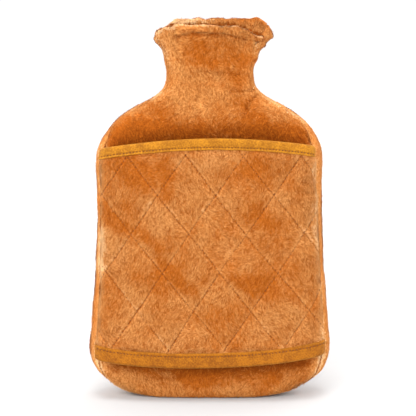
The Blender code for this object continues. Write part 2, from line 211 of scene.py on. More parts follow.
SEAM_TUCK = 1.7         # how far a side seam pulls the cloth in beside the pocket
SEAM_TUCK_WIDTH = 3.6   # how far from the seam that fades
RESTING = 0.6           # cloth lower than this rests on the floor, and bears no pile
AT_SEAM = 0.9995        # a vertex further across its cut than this lies on a side seam
LEAST_SHARE = 1e-6      # of a half width, where a ring's angle can still be found


@dataclass(frozen=True)
class Form:
    """The soft hollow bottle shape, described by rings and by where its side seams run.

    Attributes:
        level_row: First ring from which the rings of the body are level all round.
        flat_share: Share of the half width up to which a ring keeps the height of its middle.
        step: Part of a row, and angle, over which a direction is measured.
        samples: Places at which rows and heights are compared.
    """
    level_row: float = 6.0
    flat_share: float = 0.55
    step: float = 0.002
    samples: int = 400

    def ring_at(self, row: Array) -> Ring:
        """Read the ring at each row number, on smooth curves through the table.

        Args:
            row: Row numbers, whole or not.

        Returns:
            A ring whose fields are arrays.
        """
        table = np.array(RINGS)
        low = np.clip(np.floor(row).astype(int), 0, LAST_ROW - 1)
        share = (row - low)[:, None]
        before, start, end, after = (
            table[np.clip(low + shift, 0, LAST_ROW)] for shift in (-1, 0, 1, 2)
        )
        bend = 2 * before - 5 * start + 4 * end - after
        twist = 3 * (start - end) + after - before
        values = start + 0.5 * ((end - before) * share + bend * share**2 + twist * share**3)
        return Ring(*values.T)

    def row_at(self, height: Array) -> Array:
        """Find the row number at each height on the level part of the body."""
        rows = np.linspace(self.level_row, LAST_ROW, self.samples)
        return np.interp(height, self.ring_at(rows).front_z, rows)

    def point(self, row: Array, angle: Array) -> Array:
        """Find points on the form.

        Args:
            row: Row numbers.
            angle: Angles round the form: 0 is the right side, -pi / 2 the front, pi the left side.

        Returns:
            Places in millimetres.
        """
        ring = self.ring_at(row)
        cosine, sine = np.cos(angle), np.sin(angle)
        reach = (np.abs(cosine) ** ring.square + np.abs(sine) ** ring.square) ** (-1 / ring.square)
        x = np.where(cosine > 0, ring.right, ring.left) * cosine * reach
        y = np.where(sine > 0, ring.back, ring.front) * sine * reach
        middle_z = np.where(sine > 0, ring.back_z, ring.front_z)
        side_z = np.where(cosine > 0, ring.right_z, ring.left_z)
        z = middle_z + (side_z - middle_z) * ease(self.flat_share, 1.0, np.abs(cosine) * reach)
        return np.stack([x, y, np.maximum(z, 0.0)], axis=1)

    def directions(self, row: Array, angle: Array) -> tuple[Array, ...]:
        """Find points, the way round the form there, and the way out of it."""
        step = self.step
        place = self.point(row, angle)
        around = self.point(row, angle + step) - self.point(row, angle - step)
        upward = self.point(row + step, angle) - self.point(row - step, angle)
        return place, unit(around), unit(np.cross(around, upward))

    @staticmethod
    def side_angle(share: Array, square: Array) -> Array:
        """Find the angle from the side at which a ring reaches this share of its half width."""
        share = np.clip(share, LEAST_SHARE, 1.0)
        return np.arctan((share ** -square - 1.0) ** (1 / square))

    def seam_angles(self, row: Array) -> tuple[Array, Array]:
        """Find the angles of the left and the right side seam."""
        ring = self.ring_at(row)
        heights, left, right = np.array(STRIPS).T
        left_share = 1 - np.interp(ring.left_z, heights, left) / ring.left
        right_share = 1 - np.interp(ring.right_z, heights, right) / ring.right
        return (-math.pi + self.side_angle(left_share, ring.square),
                -self.side_angle(right_share, ring.square))

    def seam_widths(self, height: Array) -> tuple[Array, Array]:
        """Find where the side seams run at each height of the pocket."""
        row = self.row_at(height)
        left_seam, right_seam = self.seam_angles(row)
        return self.point(row, left_seam)[:, 0], self.point(row, right_seam)[:, 0]


FORM = Form()


def seam_side(across: Array) -> Array:
    """-1 on the left side seam of a cut, 1 on the right one, and 0 between them."""
    return np.sign(across) * (np.abs(across) > AT_SEAM)


def crease_lift(points: Array, creases: tuple[Crease, ...]) -> Array:
    """Add up the creases.

    Args:
        points: Places on the form.
        creases: The creases of that piece, in the plane of its front.

    Returns:
        How far the cloth is lifted at each point.
    """
    lift = np.zeros(len(points))
    for crease in creases:
        away = np.full(len(points), np.inf)
        for start, end in zip(crease.path, crease.path[1:]):
            start, run = np.array(start), np.array(end) - start
            from_start = points[:, (0, 2)] - start
            share = np.clip(from_start @ run / np.sum(run**2), 0.0, 1.0)
            away = np.minimum(away, np.linalg.norm(from_start - share[:, None] * run, axis=1))
        lift += crease.height * bump(away, crease.width)
    return lift


# --- the nap: which way the pile is brushed, and so how pale it looks -----------------------------
class Brushed(NamedTuple):
    """A patch brushed by hand: middle, half length, half width, turn in degrees and paleness."""
    x: float
    z: float
    along: float
    across: float
    turn: float
    pale: float


@dataclass
class Nap:
    """Direction and paleness of the pile over the whole cover.

    Attributes:
        patches: Patches that are brushed pale, or away, on the front.
        broad: Noise of patches some centimetres wide.
        middling: Noise of patches a centimetre wide.
        ragged: Noise that frays the edges of both.
        swirl: Noise that turns the pile of whole patches.
        curl: Noise that turns single curls.
        tufts: Noise whose middle values are the ridges of curls.
        specks: Noise of single fibres.
        tone_parts: What the broad, middling and ragged noise each add to the tone.
        stray_parts: How far the middling and ragged noise shift a patch's edge.
        patch_edge: Where a patch fades out and where it is full, as a share of its size.
        patch_strength: What a full patch adds to the tone.
        facing: Depths behind the middle over which the patches of the front fade out and in.
        pale_base: Paleness where the tone is 0.
        pale_gain: Paleness that a tone of 1 adds.
        pale_limits: Least and most paleness.
        curl_shape: Scale of the curls' noise along each axis, so that curls are longer upwards.
        curl_warp: How far the curls wander, in millimetres.
        ridge: Half the range of the curls' noise that makes a ridge.
        curl_light: Lightness of a ridge.
        speck_light: Lightness of a speck.
        hang: Which way the pile leans where no hand has turned it.
        turns: How much the swirls and the curls turn it.
    """
    patches: tuple[Brushed, ...] = (
        Brushed(-14.0, 276.0, 30.0, 16.0, 20.0, 0.55),      # low on the neck
        Brushed(-34.0, 322.0, 9.0, 24.0, 8.0, 0.45),        # left side of the collar
        Brushed(-10.0, 297.0, 22.0, 9.0, 0.0, 0.45),
        Brushed(-63.0, 251.0, 34.0, 17.0, 25.0, -1.0),      # left shoulder
        Brushed(40.0, 268.0, 18.0, 12.0, -50.0, -0.35),     # right side of the neck
        Brushed(8.0, 318.0, 32.0, 15.0, 0.0, -0.70),        # middle of the collar
        Brushed(28.0, 300.0, 16.0, 17.0, 60.0, -0.60),
        Brushed(62.0, 247.0, 30.0, 11.0, -12.0, -0.80),     # right shoulder
        Brushed(70.0, 262.0, 22.0, 7.0, -38.0, 0.40),
        Brushed(-62.0, 205.0, 26.0, 12.0, -38.0, -0.55),    # upper left of the pocket
        Brushed(-38.0, 210.0, 9.0, 16.0, 0.0, -0.60),
        Brushed(0.0, 220.0, 30.0, 8.0, 4.0, 0.15),          # under the middle of the top tape
        Brushed(46.0, 212.0, 24.0, 9.0, -10.0, -0.40),
        Brushed(-88.0, 168.0, 30.0, 8.0, -42.0, -0.70),     # left edge, half way
        Brushed(-56.0, 152.0, 20.0, 5.0, -35.0, -0.65),
        Brushed(-52.0, 175.0, 24.0, 10.0, -50.0, 0.35),
        Brushed(-86.0, 135.0, 18.0, 12.0, 60.0, 0.45),
        Brushed(52.0, 172.0, 30.0, 9.0, -48.0, -0.60),      # right of the middle
        Brushed(74.0, 200.0, 10.0, 5.0, -10.0, -0.30),
        Brushed(88.0, 160.0, 8.0, 26.0, 0.0, 0.40),
        Brushed(40.0, 112.0, 22.0, 11.0, -20.0, -0.60),     # low on the right
        Brushed(-26.0, 114.0, 36.0, 6.0, -48.0, -0.55),
        Brushed(26.0, 134.0, 22.0, 9.0, -50.0, 0.45),
        Brushed(-66.0, 96.0, 16.0, 16.0, 0.0, 0.40),
        Brushed(-6.0, 78.0, 14.0, 6.0, -40.0, -0.35),
        Brushed(-20.0, 62.0, 26.0, 9.0, 10.0, 0.35),
        Brushed(62.0, 72.0, 26.0, 12.0, 20.0, 0.35),
        Brushed(-60.0, 24.0, 20.0, 6.0, -30.0, -0.30),      # under the pocket
        Brushed(10.0, 20.0, 60.0, 7.0, 0.0, -0.65),
        Brushed(-74.0, 10.0, 16.0, 5.0, -40.0, 0.45),
    )
    broad: SoftNoise = noise(11, 34.0)
    middling: SoftNoise = noise(12, 12.0)
    ragged: SoftNoise = noise(18, 4.5)
    swirl: SoftNoise = noise(13, 24.0, 3)
    curl: SoftNoise = noise(14, 5.0, 3)
    tufts: SoftNoise = noise(15, 1.7)
    specks: SoftNoise = noise(16, 0.85)
    tone_parts: tuple[float, float, float] = (0.44, 0.34, 0.12)
    stray_parts: Span = (0.45, 0.2)
    patch_edge: Span = (1.5, 0.4)
    patch_strength: float = 0.9
    facing: Span = (2.0, -4.0)
    pale_base: float = 0.08
    pale_gain: float = 0.62
    pale_limits: Span = (0.03, 0.74)
    curl_shape: tuple[float, float, float] = (1.0, 1.0, 0.65)
    curl_warp: float = 1.2
    ridge: float = 0.30
    curl_light: float = 0.5
    speck_light: float = 1.1
    hang: tuple[float, float, float] = (0.0, 0.0, -0.8)
    turns: Span = (1.3, 0.8)

    def paleness(self, points: Array) -> Array:
        """How pale the brushed pile looks, from 0 to 1.

        Args:
            points: Places in millimetres, as the cover stands.

        Returns:
            The paleness at each point.
        """
        middling, ragged = self.middling.at(points), self.ragged.at(points)
        tone = 0.5
        for part, values in zip(self.tone_parts, (self.broad.at(points), middling, ragged)):
            tone = tone + part * values
        turned = self.middling.at(points[:, (2, 0, 1)])
        stray = self.stray_parts[0] * turned + self.stray_parts[1] * ragged
        strength = self.patch_strength * ease(*self.facing, points[:, 1] - CENTRE_Y)
        for patch in self.patches:
            turn = math.radians(patch.turn)
            x, z = points[:, 0] - patch.x, points[:, 2] - patch.z
            along = x * math.cos(turn) + z * math.sin(turn)
            across = z * math.cos(turn) - x * math.sin(turn)
            away = np.hypot(along / patch.along, across / patch.across) + stray
            tone += patch.pale * strength * ease(*self.patch_edge, away)
        return np.clip(self.pale_base + self.pale_gain * tone, *self.pale_limits)

    def tuft_tone(self, points: Array) -> Array:
        """How much lighter a point is for standing up in a curl of pile, about -1 to 1."""
        warped = points * np.array(self.curl_shape) + self.curl_warp * self.curl.at(points)
        curls = np.clip(1.0 - np.abs(self.tufts.at(warped)) / self.ridge, -1.0, 1.0)
        return self.curl_light * curls + self.speck_light * self.specks.at(points)

    def lean(self, points: Array, outward: Array) -> Array:
        """Which way along the cloth the pile leans at each point."""
        swirl, curl = self.turns
        way = np.array(self.hang) + swirl * self.swirl.at(points) + curl * self.curl.at(points)
        return unit(way - outward * np.sum(way * outward, axis=1, keepdims=True))


NAP = Nap()


# --- finishes -------------------------------------------------------------------------------------
class SlotName(Enum):
    """Material slots of the record."""
    PLUSH = "plush"
    QUILTED = "quilted_plush"
    TAPE = "binding_tape"


class NodeBench:
    """Adds and links shader nodes in one tree."""

    def __init__(self, tree: NodeTree) -> None:
        """Take the tree to work on."""
        self.tree = tree

    def add(self, kind: str, **settings: object) -> Node:
        """Add a node.

        Args:
            kind: Its type name.
            **settings: Attributes of the node.

        Returns:
            The new node.
        """
        node = self.tree.nodes.new(kind)
        for name, value in settings.items():
            setattr(node, name, value)
        return node

    def feed(self, node: Node, socket: str | int, value: object) -> None:
        """Link a socket to an output, or set its value.

        Args:
            node: The node to feed.
            socket: Name or number of its input.
            value: An output socket, a number, or a colour.
        """
        if isinstance(value, NodeSocket):
            self.tree.links.new(value, node.inputs[socket])
        else:
            node.inputs[socket].default_value = value

    def feed_all(self, node: Node, values: dict[str, object]) -> None:
        """Feed several inputs of a node, by their names."""
        for socket, value in values.items():
            self.feed(node, socket, value)

    def sum(self, operation: str, *values: object) -> NodeSocket:
        """Combine numbers with one math operation and return the result's socket."""
        node = self.add("ShaderNodeMath", operation=operation)
        for number, value in enumerate(values):
            self.feed(node, number, value)
        return node.outputs[0]

    def mix(self, share: object, first: object, second: object) -> NodeSocket:
        """Mix two colours, whose inputs are 6 and 7, and return output 2, the mixed colour."""
        node = self.add("ShaderNodeMix", data_type="RGBA")
        for number, value in ((0, share), (6, first), (7, second)):
            self.feed(node, number, value)
        return node.outputs[2]

    def spread(self, value: object, low: float, high: float,
               to_low: float = 0.0, to_high: float = 1.0) -> NodeSocket:
        """Map a range of values to another and return the result's socket."""
        node = self.add("ShaderNodeMapRange", interpolation_type="SMOOTHSTEP")
        for number, entry in enumerate((value, low, high, to_low, to_high)):
            self.feed(node, number, entry)
        return node.outputs[0]

    def noise(self, place: object, scale: float, detail: float = 2.0) -> NodeSocket:
        """Add a noise texture and return its value socket."""
        node = self.add("ShaderNodeTexNoise")
        self.feed_all(node, {"Vector": place, "Scale": scale, "Detail": detail})
        return node.outputs[0]


class MaterialBench(NodeBench):
    """A bench for one new material and its Principled shader."""

    def __init__(self, name: str, constants: dict[str, object]) -> None:
        """Start a material.

        Args:
            name: Its name.
            constants: Values of the shader's sockets that are the same all over the surface.
        """
        self.material = bpy.data.materials.new(name)
        self.material.use_nodes = True
        super().__init__(self.material.node_tree)
        self.shader = self.tree.nodes["Principled BSDF"]
        self.feed_all(self.shader, constants)

    def place(self) -> NodeSocket:
        """Read the place on the object, in metres."""
        return self.add("ShaderNodeTexCoord").outputs["Object"]

    def map(self, name: str) -> NodeSocket:
        """Read the place on one of the object's maps."""
        return self.add("ShaderNodeUVMap", uv_map=name).outputs[0]

    def number(self, name: str) -> NodeSocket:
        """Read a number that is stored at the object's vertices."""
        return self.add("ShaderNodeAttribute", attribute_name=name).outputs["Fac"]

    def finish(self, colour: NodeSocket, height: NodeSocket | None = None,
               strength: float = 0.0, distance: float = 0.0) -> Material:
        """Feed the shader's colour and relief.

        Args:
            colour: The base colour.
            height: Height of the surface, where it has relief.
            strength: Strength of the relief.
            distance: Depth of the relief, in metres.

        Returns:
            The finished material.
        """
        self.feed(self.shader, "Base Color", colour)
        if height is not None:
            relief = self.add("ShaderNodeBump")
            self.feed_all(relief, {"Strength": strength, "Distance": distance, "Height": height})
            self.feed(self.shader, "Normal", relief.outputs[0])
        return self.material


def group(name: str, inputs: dict[str, tuple], outputs: dict[str, str],
          fill: Callable[[NodeBench, Node, Node], None]) -> NodeTree:
    """Make a shader node group.

    Args:
        name: Its name.
        inputs: Socket type and first value of each input.
        outputs: Socket type of each output.
        fill: Builds the inside, given a bench and the input and output nodes.

    Returns:
        The group's tree.
    """
    tree = bpy.data.node_groups.new(name, "ShaderNodeTree")
    for label, (kind, value) in inputs.items():
        socket = tree.interface.new_socket(label, in_out="INPUT", socket_type=kind)
        if value is not None:
            socket.default_value = value
    for label, kind in outputs.items():
        tree.interface.new_socket(label, in_out="OUTPUT", socket_type=kind)
    bench = NodeBench(tree)
    fill(bench, bench.add("NodeGroupInput"), bench.add("NodeGroupOutput"))
    return tree


COLOUR, NUMBER, PLACE = "NodeSocketColor", "NodeSocketFloat", "NodeSocketVector"
PALE_RANGE = (-0.1, 0.85)   # paleness over which the pale colour takes over from the rich one
# Paleness over which the cream of the painted highlight takes over from the pale colour.
HIGHLIGHT_CREAM_RANGE = (0.75, 1.0)   # and the cream one from the pale one
FIBRE_SCALE = 1400.0        # scale of single fibres, to the metre
PICK_DEPTH = 0.3            # how deep the crossing threads cut into the ribs of a twill


def fill_pile_colour(bench: NodeBench, ins: Node, outs: Node) -> None:
    """Build the colour of pile: painted shade between the fibres and where light is low, and paler
    on tips that are brushed up.
    """
    paleness, light = ins.outputs["Paleness"], ins.outputs["Light"]
    lit = bench.mix(bench.spread(paleness, *PALE_RANGE), ins.outputs["Rich"], ins.outputs["Pale"])
    lit = bench.mix(bench.spread(paleness, *HIGHLIGHT_CREAM_RANGE), lit, ins.outputs["HighlightCream"])
    fibres = bench.noise(ins.outputs["Place"], FIBRE_SCALE, 3.0)
    flecks = bench.spread(fibres, 0.35, 0.65, -0.5, 0.5)
    light = bench.sum("MULTIPLY_ADD", flecks, ins.outputs["Flecks"], light)
    bench.feed(outs, "Colour", bench.mix(bench.spread(light, 0.0, 1.0), ins.outputs["PaintedShade"], lit))
    bench.feed(outs, "Height", light)


def fill_weave(bench: NodeBench, ins: Node, outs: Node) -> None:
    """Build a twill weave: slanting ribs broken by the threads that cross them."""
    split = bench.add("ShaderNodeSeparateXYZ")
    bench.feed(split, 0, ins.outputs["Place"])
    along = bench.sum("MULTIPLY", split.outputs[0], ins.outputs["Threads"])
    across = bench.sum("MULTIPLY", split.outputs[1], ins.outputs["Threads"])
    rib = bench.sum("SINE", bench.sum("MULTIPLY", bench.sum("ADD", along, across), math.pi))
    pick = bench.sum("SINE", bench.sum("MULTIPLY", along, 2.0 * math.pi))
    height = bench.sum("MULTIPLY_ADD", pick, PICK_DEPTH, rib)
    bench.feed(outs, "Height", bench.spread(height, -1.0 - PICK_DEPTH, 1.0 + PICK_DEPTH))


class Looks:
    """The cover's finishes, each made once."""

    def __init__(self) -> None:
        """Build the shared groups and the materials."""
        colours = {name: (COLOUR, (1, 1, 1, 1)) for name in ("Rich", "Pale", "HighlightCream", "PaintedShade")}
        numbers = {"Paleness": (NUMBER, 0.5), "Light": (NUMBER, 1.0), "Flecks": (NUMBER, 0.2)}
        self.pile_colour = group(
            "pile_colour", {"Place": (PLACE, None)} | numbers | colours,
            {"Colour": COLOUR, "Height": NUMBER}, fill_pile_colour)
        self.weave = group(
            "twill", {"Place": (PLACE, None), "Threads": (NUMBER, 1000.0)},
            {"Height": NUMBER}, fill_weave)
        self.plush = PlushFinish("plush_cloth").make(self)
        self.plush_pile = PlushFinish("plush_pile", from_map=True).make(self)
        self.quilted = PlushFinish("quilted_cloth", **QUILTED_COLOURS).make(self)
        self.quilted_pile = PlushFinish("quilted_pile", from_map=True, **QUILTED_COLOURS).make(self)
        self.top_tape = TapeFinish("mustard_tape").make(self)
        # The bottom tape is the same tape, in darker colours as painted shade.
        self.bottom_tape = TapeFinish("mustard_tape_shaded", **SHADED_TAPE_COLOURS).make(self)
        self.thread = ThreadFinish("shaded_thread").make()


@dataclass(frozen=True)
class PlushFinish:
    """Short plush.

    Attributes:
        name: Name of the material.
        from_map: Whether paleness and light come from the pile's own map, not from the cloth.
        rich: Colour of pile that leans away.
        pale: Colour of pile that is brushed up.
        cream: Colour of the palest tips along turned edges, a painted highlight where rim light
            falls.
        deep: Colour of the painted shade, between the fibres and wherever light is low.
        flecks: How much single fibres of the cloth differ. Tufts of pile differ in their map.
    """
    name: str
    from_map: bool = False
    rich: tuple = (0.545, 0.132, 0.007, 1.0)
    pale: tuple = (0.745, 0.318, 0.086, 1.0)
    cream: tuple = (0.92, 0.57, 0.27, 1.0)
    deep: tuple = (0.29, 0.058, 0.0020, 1.0)
    flecks: float = 0.35

    def make(self, looks: "Looks") -> Material:
        """Build the material.

        Args:
            looks: Holds the shared groups.

        Returns:
            The material.
        """
        bench = MaterialBench(self.name, {
            "Roughness": 0.85, "Specular IOR Level": 0.10, "Sheen Weight": 0.55,
            "Sheen Roughness": 0.30, "Sheen Tint": (1.0, 0.62, 0.28, 1.0)})
        if self.from_map:
            parts = bench.add("ShaderNodeSeparateXYZ")
            bench.feed(parts, 0, bench.map(BAKE_MAP))
            paleness, light = parts.outputs[0], parts.outputs[1]
        else:
            paleness, light = bench.number("paleness"), bench.number("light")
        pile = bench.add("ShaderNodeGroup", node_tree=looks.pile_colour)
        bench.feed_all(pile, {
            "Place": bench.place(), "Paleness": paleness, "Light": light,
            "Flecks": 0.0 if self.from_map else self.flecks,
            "Rich": self.rich, "Pale": self.pale, "HighlightCream": self.cream, "PaintedShade": self.deep})
        if self.from_map:
            return bench.finish(pile.outputs["Colour"])
        return bench.finish(pile.outputs["Colour"], pile.outputs["Height"],
                            strength=0.5, distance=0.0008)


QUILTED_COLOURS = {
    "rich": (0.525, 0.134, 0.0095, 1.0),
    "pale": (0.700, 0.303, 0.087, 1.0),
    "deep": (0.28, 0.058, 0.0024, 1.0),
}


@dataclass(frozen=True)
class TapeFinish:
    """Mustard twill tape with a felted face.

    Attributes:
        name: Name of the material.
        light: Colour of the threads that stand up.
        dark: Colour between them.
        threads: Ribs of the twill, to the metre.
        worn_scale: Scale of the worn patches, to the metre.
        felt_scale: Scale of the felted fibres, to the metre.
        depths: What wear, felt and weave each add to the light.
    """
    name: str
    light: tuple = (0.56, 0.222, 0.011, 1.0)
    dark: tuple = (0.28, 0.092, 0.003, 1.0)
    threads: float = 1500.0
    worn_scale: float = 110.0
    felt_scale: float = 700.0
    depths: tuple[float, float, float] = (0.25, 0.40, 0.30)

    def make(self, looks: "Looks") -> Material:
        """Build the material, given the shared groups."""
        bench = MaterialBench(self.name, {
            "Roughness": 0.8, "Specular IOR Level": 0.2, "Sheen Weight": 0.25,
            "Sheen Roughness": 0.4, "Sheen Tint": (1.0, 0.65, 0.15, 1.0)})
        weave = bench.add("ShaderNodeGroup", node_tree=looks.weave)
        bench.feed_all(weave, {"Place": bench.map(TAPE_MAP), "Threads": self.threads})
        place = bench.place()
        worn = bench.spread(bench.noise(place, self.worn_scale, 2.0), 0.3, 0.7)
        felt = bench.spread(bench.noise(place, self.felt_scale, 3.0), 0.3, 0.7)
        shade = bench.number("light")
        for part, depth in zip((worn, felt, weave.outputs["Height"]), self.depths):
            shade = bench.sum("MULTIPLY_ADD", part, depth, shade)
        colour = bench.mix(bench.spread(shade, 0.1, 0.9), self.dark, self.light)
        return bench.finish(colour, shade, strength=0.7, distance=0.0005)


# Darker copies of the tape's colours: painted shade on the bottom tape.
SHADED_TAPE_COLOURS = {
    "light": (0.46, 0.155, 0.006, 1.0),
    "dark": (0.22, 0.060, 0.002, 1.0),
}


@dataclass(frozen=True)
class ThreadFinish:
    """Orange-brown polyester thread, twisted, painted dark as the shade of the groove that it lies
    in.

    Attributes:
        name: Name of the material.
        light: Colour of the strands.
        dark: Colour between them.
        twist_scale: Scale of the twist, to the metre.
    """
    name: str
    light: tuple = (0.22, 0.060, 0.009, 1.0)
    dark: tuple = (0.09, 0.019, 0.003, 1.0)
    twist_scale: float = 3000.0

    def make(self) -> Material:
        """Build the material."""
        bench = MaterialBench(self.name, {"Roughness": 0.6, "Specular IOR Level": 0.3})
        twist = bench.spread(bench.noise(bench.place(), self.twist_scale, 1.0), 0.35, 0.65)
        return bench.finish(bench.mix(twist, self.dark, self.light))


# --- meshes ---------------------------------------------------------------------------------------
def deselect() -> None:
    """Leave nothing selected and no object in edit mode."""
    if bpy.context.object and bpy.context.object.mode != "OBJECT":
        bpy.ops.object.mode_set(mode="OBJECT")
    bpy.ops.object.select_all(action="DESELECT")


@contextmanager
def editing() -> Iterator[None]:
    """Work in edit mode on the whole of the active object."""
    bpy.ops.object.mode_set(mode="EDIT")
    bpy.ops.mesh.select_all(action="SELECT")
    yield
    bpy.ops.object.mode_set(mode="OBJECT")


def read(items: bpy.types.bpy_prop_collection, name: str, parts: int = 1,
         kind: type = float) -> Array:
    """Read one property of all of a mesh's vertices, corners or faces.

    Args:
        items: The vertices, corners or faces.
        name: The property.
        parts: How many numbers it has.
        kind: Type of those numbers.

    Returns:
        One number for each item, or one row of parts.
    """
    values = np.empty(len(items) * parts, kind)
    items.foreach_get(name, values)
    return values if parts == 1 else values.reshape(-1, parts)


def write_places(mesh: Mesh, places: Array) -> None:
    """Write places in millimetres, as the cover stands, to a mesh's vertices."""
    mesh.vertices.foreach_set("co", (places * MM).astype(np.float32).ravel())
    mesh.update()


def write_numbers(mesh: Mesh, name: str, values: Array) -> None:
    """Store one number for each vertex of a mesh under a name."""
    mesh.attributes.new(name, "FLOAT", "POINT").data.foreach_set("value", values.astype(np.float32))


def write_map(mesh: Mesh, name: str, places: Array) -> None:
    """Add a UV map with one place for each corner of a mesh's faces."""
    mesh.uv_layers.new(name=name).uv.foreach_set("vector", places.astype(np.float32).ravel())


def centred(places: Array) -> Array:
    """Move places on the form so that the cover's box stands over the origin."""
    return places + np.array([0.0, CENTRE_Y, 0.0])


def dress(piece: Object, finish: Material, slot: SlotName, *nodes: str) -> Object:
    """Give a piece its material and its body, and hide the solids that it stands for.

    Args:
        piece: The finished piece.
        finish: Its material.
        slot: The record's slot. Not used.
        *nodes: Solids that it stands for.

    Returns:
        The piece.
    """
    piece.data.materials.clear()
    piece.data.materials.append(finish)
    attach(piece, "root")
    if nodes:
        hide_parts(*nodes)
    LOG.info("%s: %d faces", piece.name, len(piece.data.polygons))
    return piece


# --- cloth ----------------------------------------------------------------------------------------
@dataclass
class Cut:
    """A flat cut of cloth, with a thickness, laid on the form.

    Attributes:
        name: Name of the piece.
        columns: Faces across the cut.
        rows: Faces up the cut.
        up_marks: Pairs (share of the rows, share of the cut) that crowd rows where shape is fine.
        margin: Free margin of the cut's map.
        turned_edge: Width of the cut's own edge on that map.
    """
    name: str
    columns: int
    rows: int
    up_marks: tuple[Span, ...] = ((0.0, 0.0), (1.0, 1.0))
    margin: float = 0.01
    turned_edge: float = 0.004

    def lay(self, place: Callable[..., Array]) -> Object:
        """Cut, thicken and lay the cloth.

        Args:
            place: Gives places in millimetres for across (-1 to 1), up and through (0 to 1).

        Returns:
            The cloth as a mesh object at the origin.
        """
        deselect()
        bpy.ops.mesh.primitive_grid_add(
            x_subdivisions=self.columns, y_subdivisions=self.rows, size=2.0)
        cloth = bpy.context.object
        cloth.name = cloth.data.name = self.name
        with editing():
            bpy.ops.mesh.extrude_region_move(TRANSFORM_OT_translate={"value": (0.0, 0.0, 1.0)})
        mesh = cloth.data
        across, up, through = read(mesh.vertices, "co", 3).T
        shares, marks = np.array(self.up_marks).T
        self.pattern = np.stack([across, np.interp((up + 1) / 2, shares, marks), through], axis=1)
        write_places(mesh, centred(place(*self.pattern.T)))
        self.map(mesh)
        with editing():
            bpy.ops.mesh.normals_make_consistent(inside=False)
        mesh.shade_smooth()
        return cloth

    def map(self, mesh: Mesh) -> None:
        """Map the mesh as its flat pattern, the inside on the left and the outside beside it."""
        across, up, through = self.pattern[read(mesh.loops, "vertex_index", kind=int)].T
        sizes = read(mesh.polygons, "loop_total", kind=int)
        face_of = np.repeat(np.arange(len(sizes)), sizes)
        outside = np.bincount(face_of, through) / sizes
        edge = (outside > 0.01) & (outside < 0.99)
        half = 0.5 * np.where(edge, 0.0, outside)[face_of]
        u = self.margin + (0.5 - 2 * self.margin) * (across + 1) / 2 + half
        v = self.margin + (1.0 - 2 * self.margin) * up
        nudge = np.where(edge[face_of], through, 0.0) * self.turned_edge
        u += nudge * np.where(u > 0.25, -1, 1)
        v += nudge * np.where(v > 0.5, -1, 1)
        write_map(mesh, BAKE_MAP, np.stack([u, v], axis=1))


@dataclass
class Model:
    """A small shape modelled once, to be copied many times over the cloth.

    Attributes:
        corners: Places of its vertices.
        faces: Vertex numbers of each of its faces.
    """
    corners: Array
    faces: list[tuple[int, ...]]

    @staticmethod
    def take(shape: Object) -> "Model":
        """Read a modelled shape and remove it."""
        corners = np.array([vertex.co[:] for vertex in shape.data.vertices])
        faces = [tuple(face.vertices) for face in shape.data.polygons]
        bpy.data.objects.remove(shape, do_unlink=True)
        return Model(corners, faces)

    def copy(self, name: str, start: Array, along: Array, side: Array, out: Array) -> Object:
        """Copy the shape to many places, as one mesh.

        Args:
            name: Name of the piece.
            start: Place of each copy, in millimetres.
            along: What the shape's first axis becomes for each copy.
            side: The same for the second axis.
            out: The same for the third axis.

        Returns:
            The copies as a mesh object at the origin.
        """
        places = sum(np.einsum("k,nd->nkd", self.corners[:, axis], way)
                     for axis, way in enumerate((along, side, out)))
        places = (places + start[:, None]).reshape(-1, 3)
        count, size = len(start), len(self.corners)
        loops = np.concatenate([np.array(face) for face in self.faces])
        sizes = np.array([len(face) for face in self.faces])
        mesh = bpy.data.meshes.new(name)
        mesh.vertices.add(len(places))
        mesh.loops.add(count * len(loops))
        all_loops = (loops[None] + size * np.arange(count)[:, None]).ravel()
        mesh.loops.foreach_set("vertex_index", all_loops)
        mesh.polygons.add(count * len(sizes))
        starts = np.concatenate([[0], np.cumsum(np.tile(sizes, count))[:-1]])
        mesh.polygons.foreach_set("loop_start", starts)
        mesh.update(calc_edges=True)
        write_places(mesh, places)
        mesh.shade_smooth()
        piece = bpy.data.objects.new(name, mesh)
        bpy.context.scene.collection.objects.link(piece)
        return piece


@dataclass
class Surface:
    """The triangles of a laid cloth, for growing pile on it.

    Attributes:
        cloth: The cloth.
    """
    cloth: Object

    def __post_init__(self) -> None:
        """Read the places, normals and triangles, in millimetres."""
        mesh = self.cloth.data
        mesh.calc_loop_triangles()
        self.places = read(mesh.vertices, "co", 3) / MM
        self.normals = read(mesh.vertex_normals, "vector", 3)
        self.triangles = read(mesh.loop_triangles, "vertices", 3, int)

    def scatter(self, count: int, density: Array, rng: np.random.Generator) -> tuple[Array, Array]:
        """Pick places on the cloth.

        Args:
            count: How many.
            density: How thickly they stand at each vertex.
            rng: Random numbers.

        Returns:
            Vertex numbers of the triangles picked, and the share of each of their corners.
        """
        first, second, third = (self.places[self.triangles[:, n]] for n in range(3))
        area = np.linalg.norm(np.cross(second - first, third - first), axis=1)
        weight = area * density[self.triangles].mean(axis=1)
        total = np.cumsum(weight)
        picked = np.searchsorted(total, rng.uniform(0.0, total[-1], count))
        picked = np.minimum(picked, len(weight) - 1)
        one, two = rng.uniform(size=(2, count))
        root = np.sqrt(one)
        return self.triangles[picked], np.stack([1 - root, root * (1 - two), root * two], axis=1)


@dataclass
class Coat:
    """What the pile is like at each vertex of its cloth.

    Attributes:
        density: How thickly it stands.
        length: Its length, as a share of the usual one.
        pale: Paleness added to the nap's own.
        light: Lightness added to that of the curls.
    """
    density: Array
    length: Array
    pale: Array
    light: Array


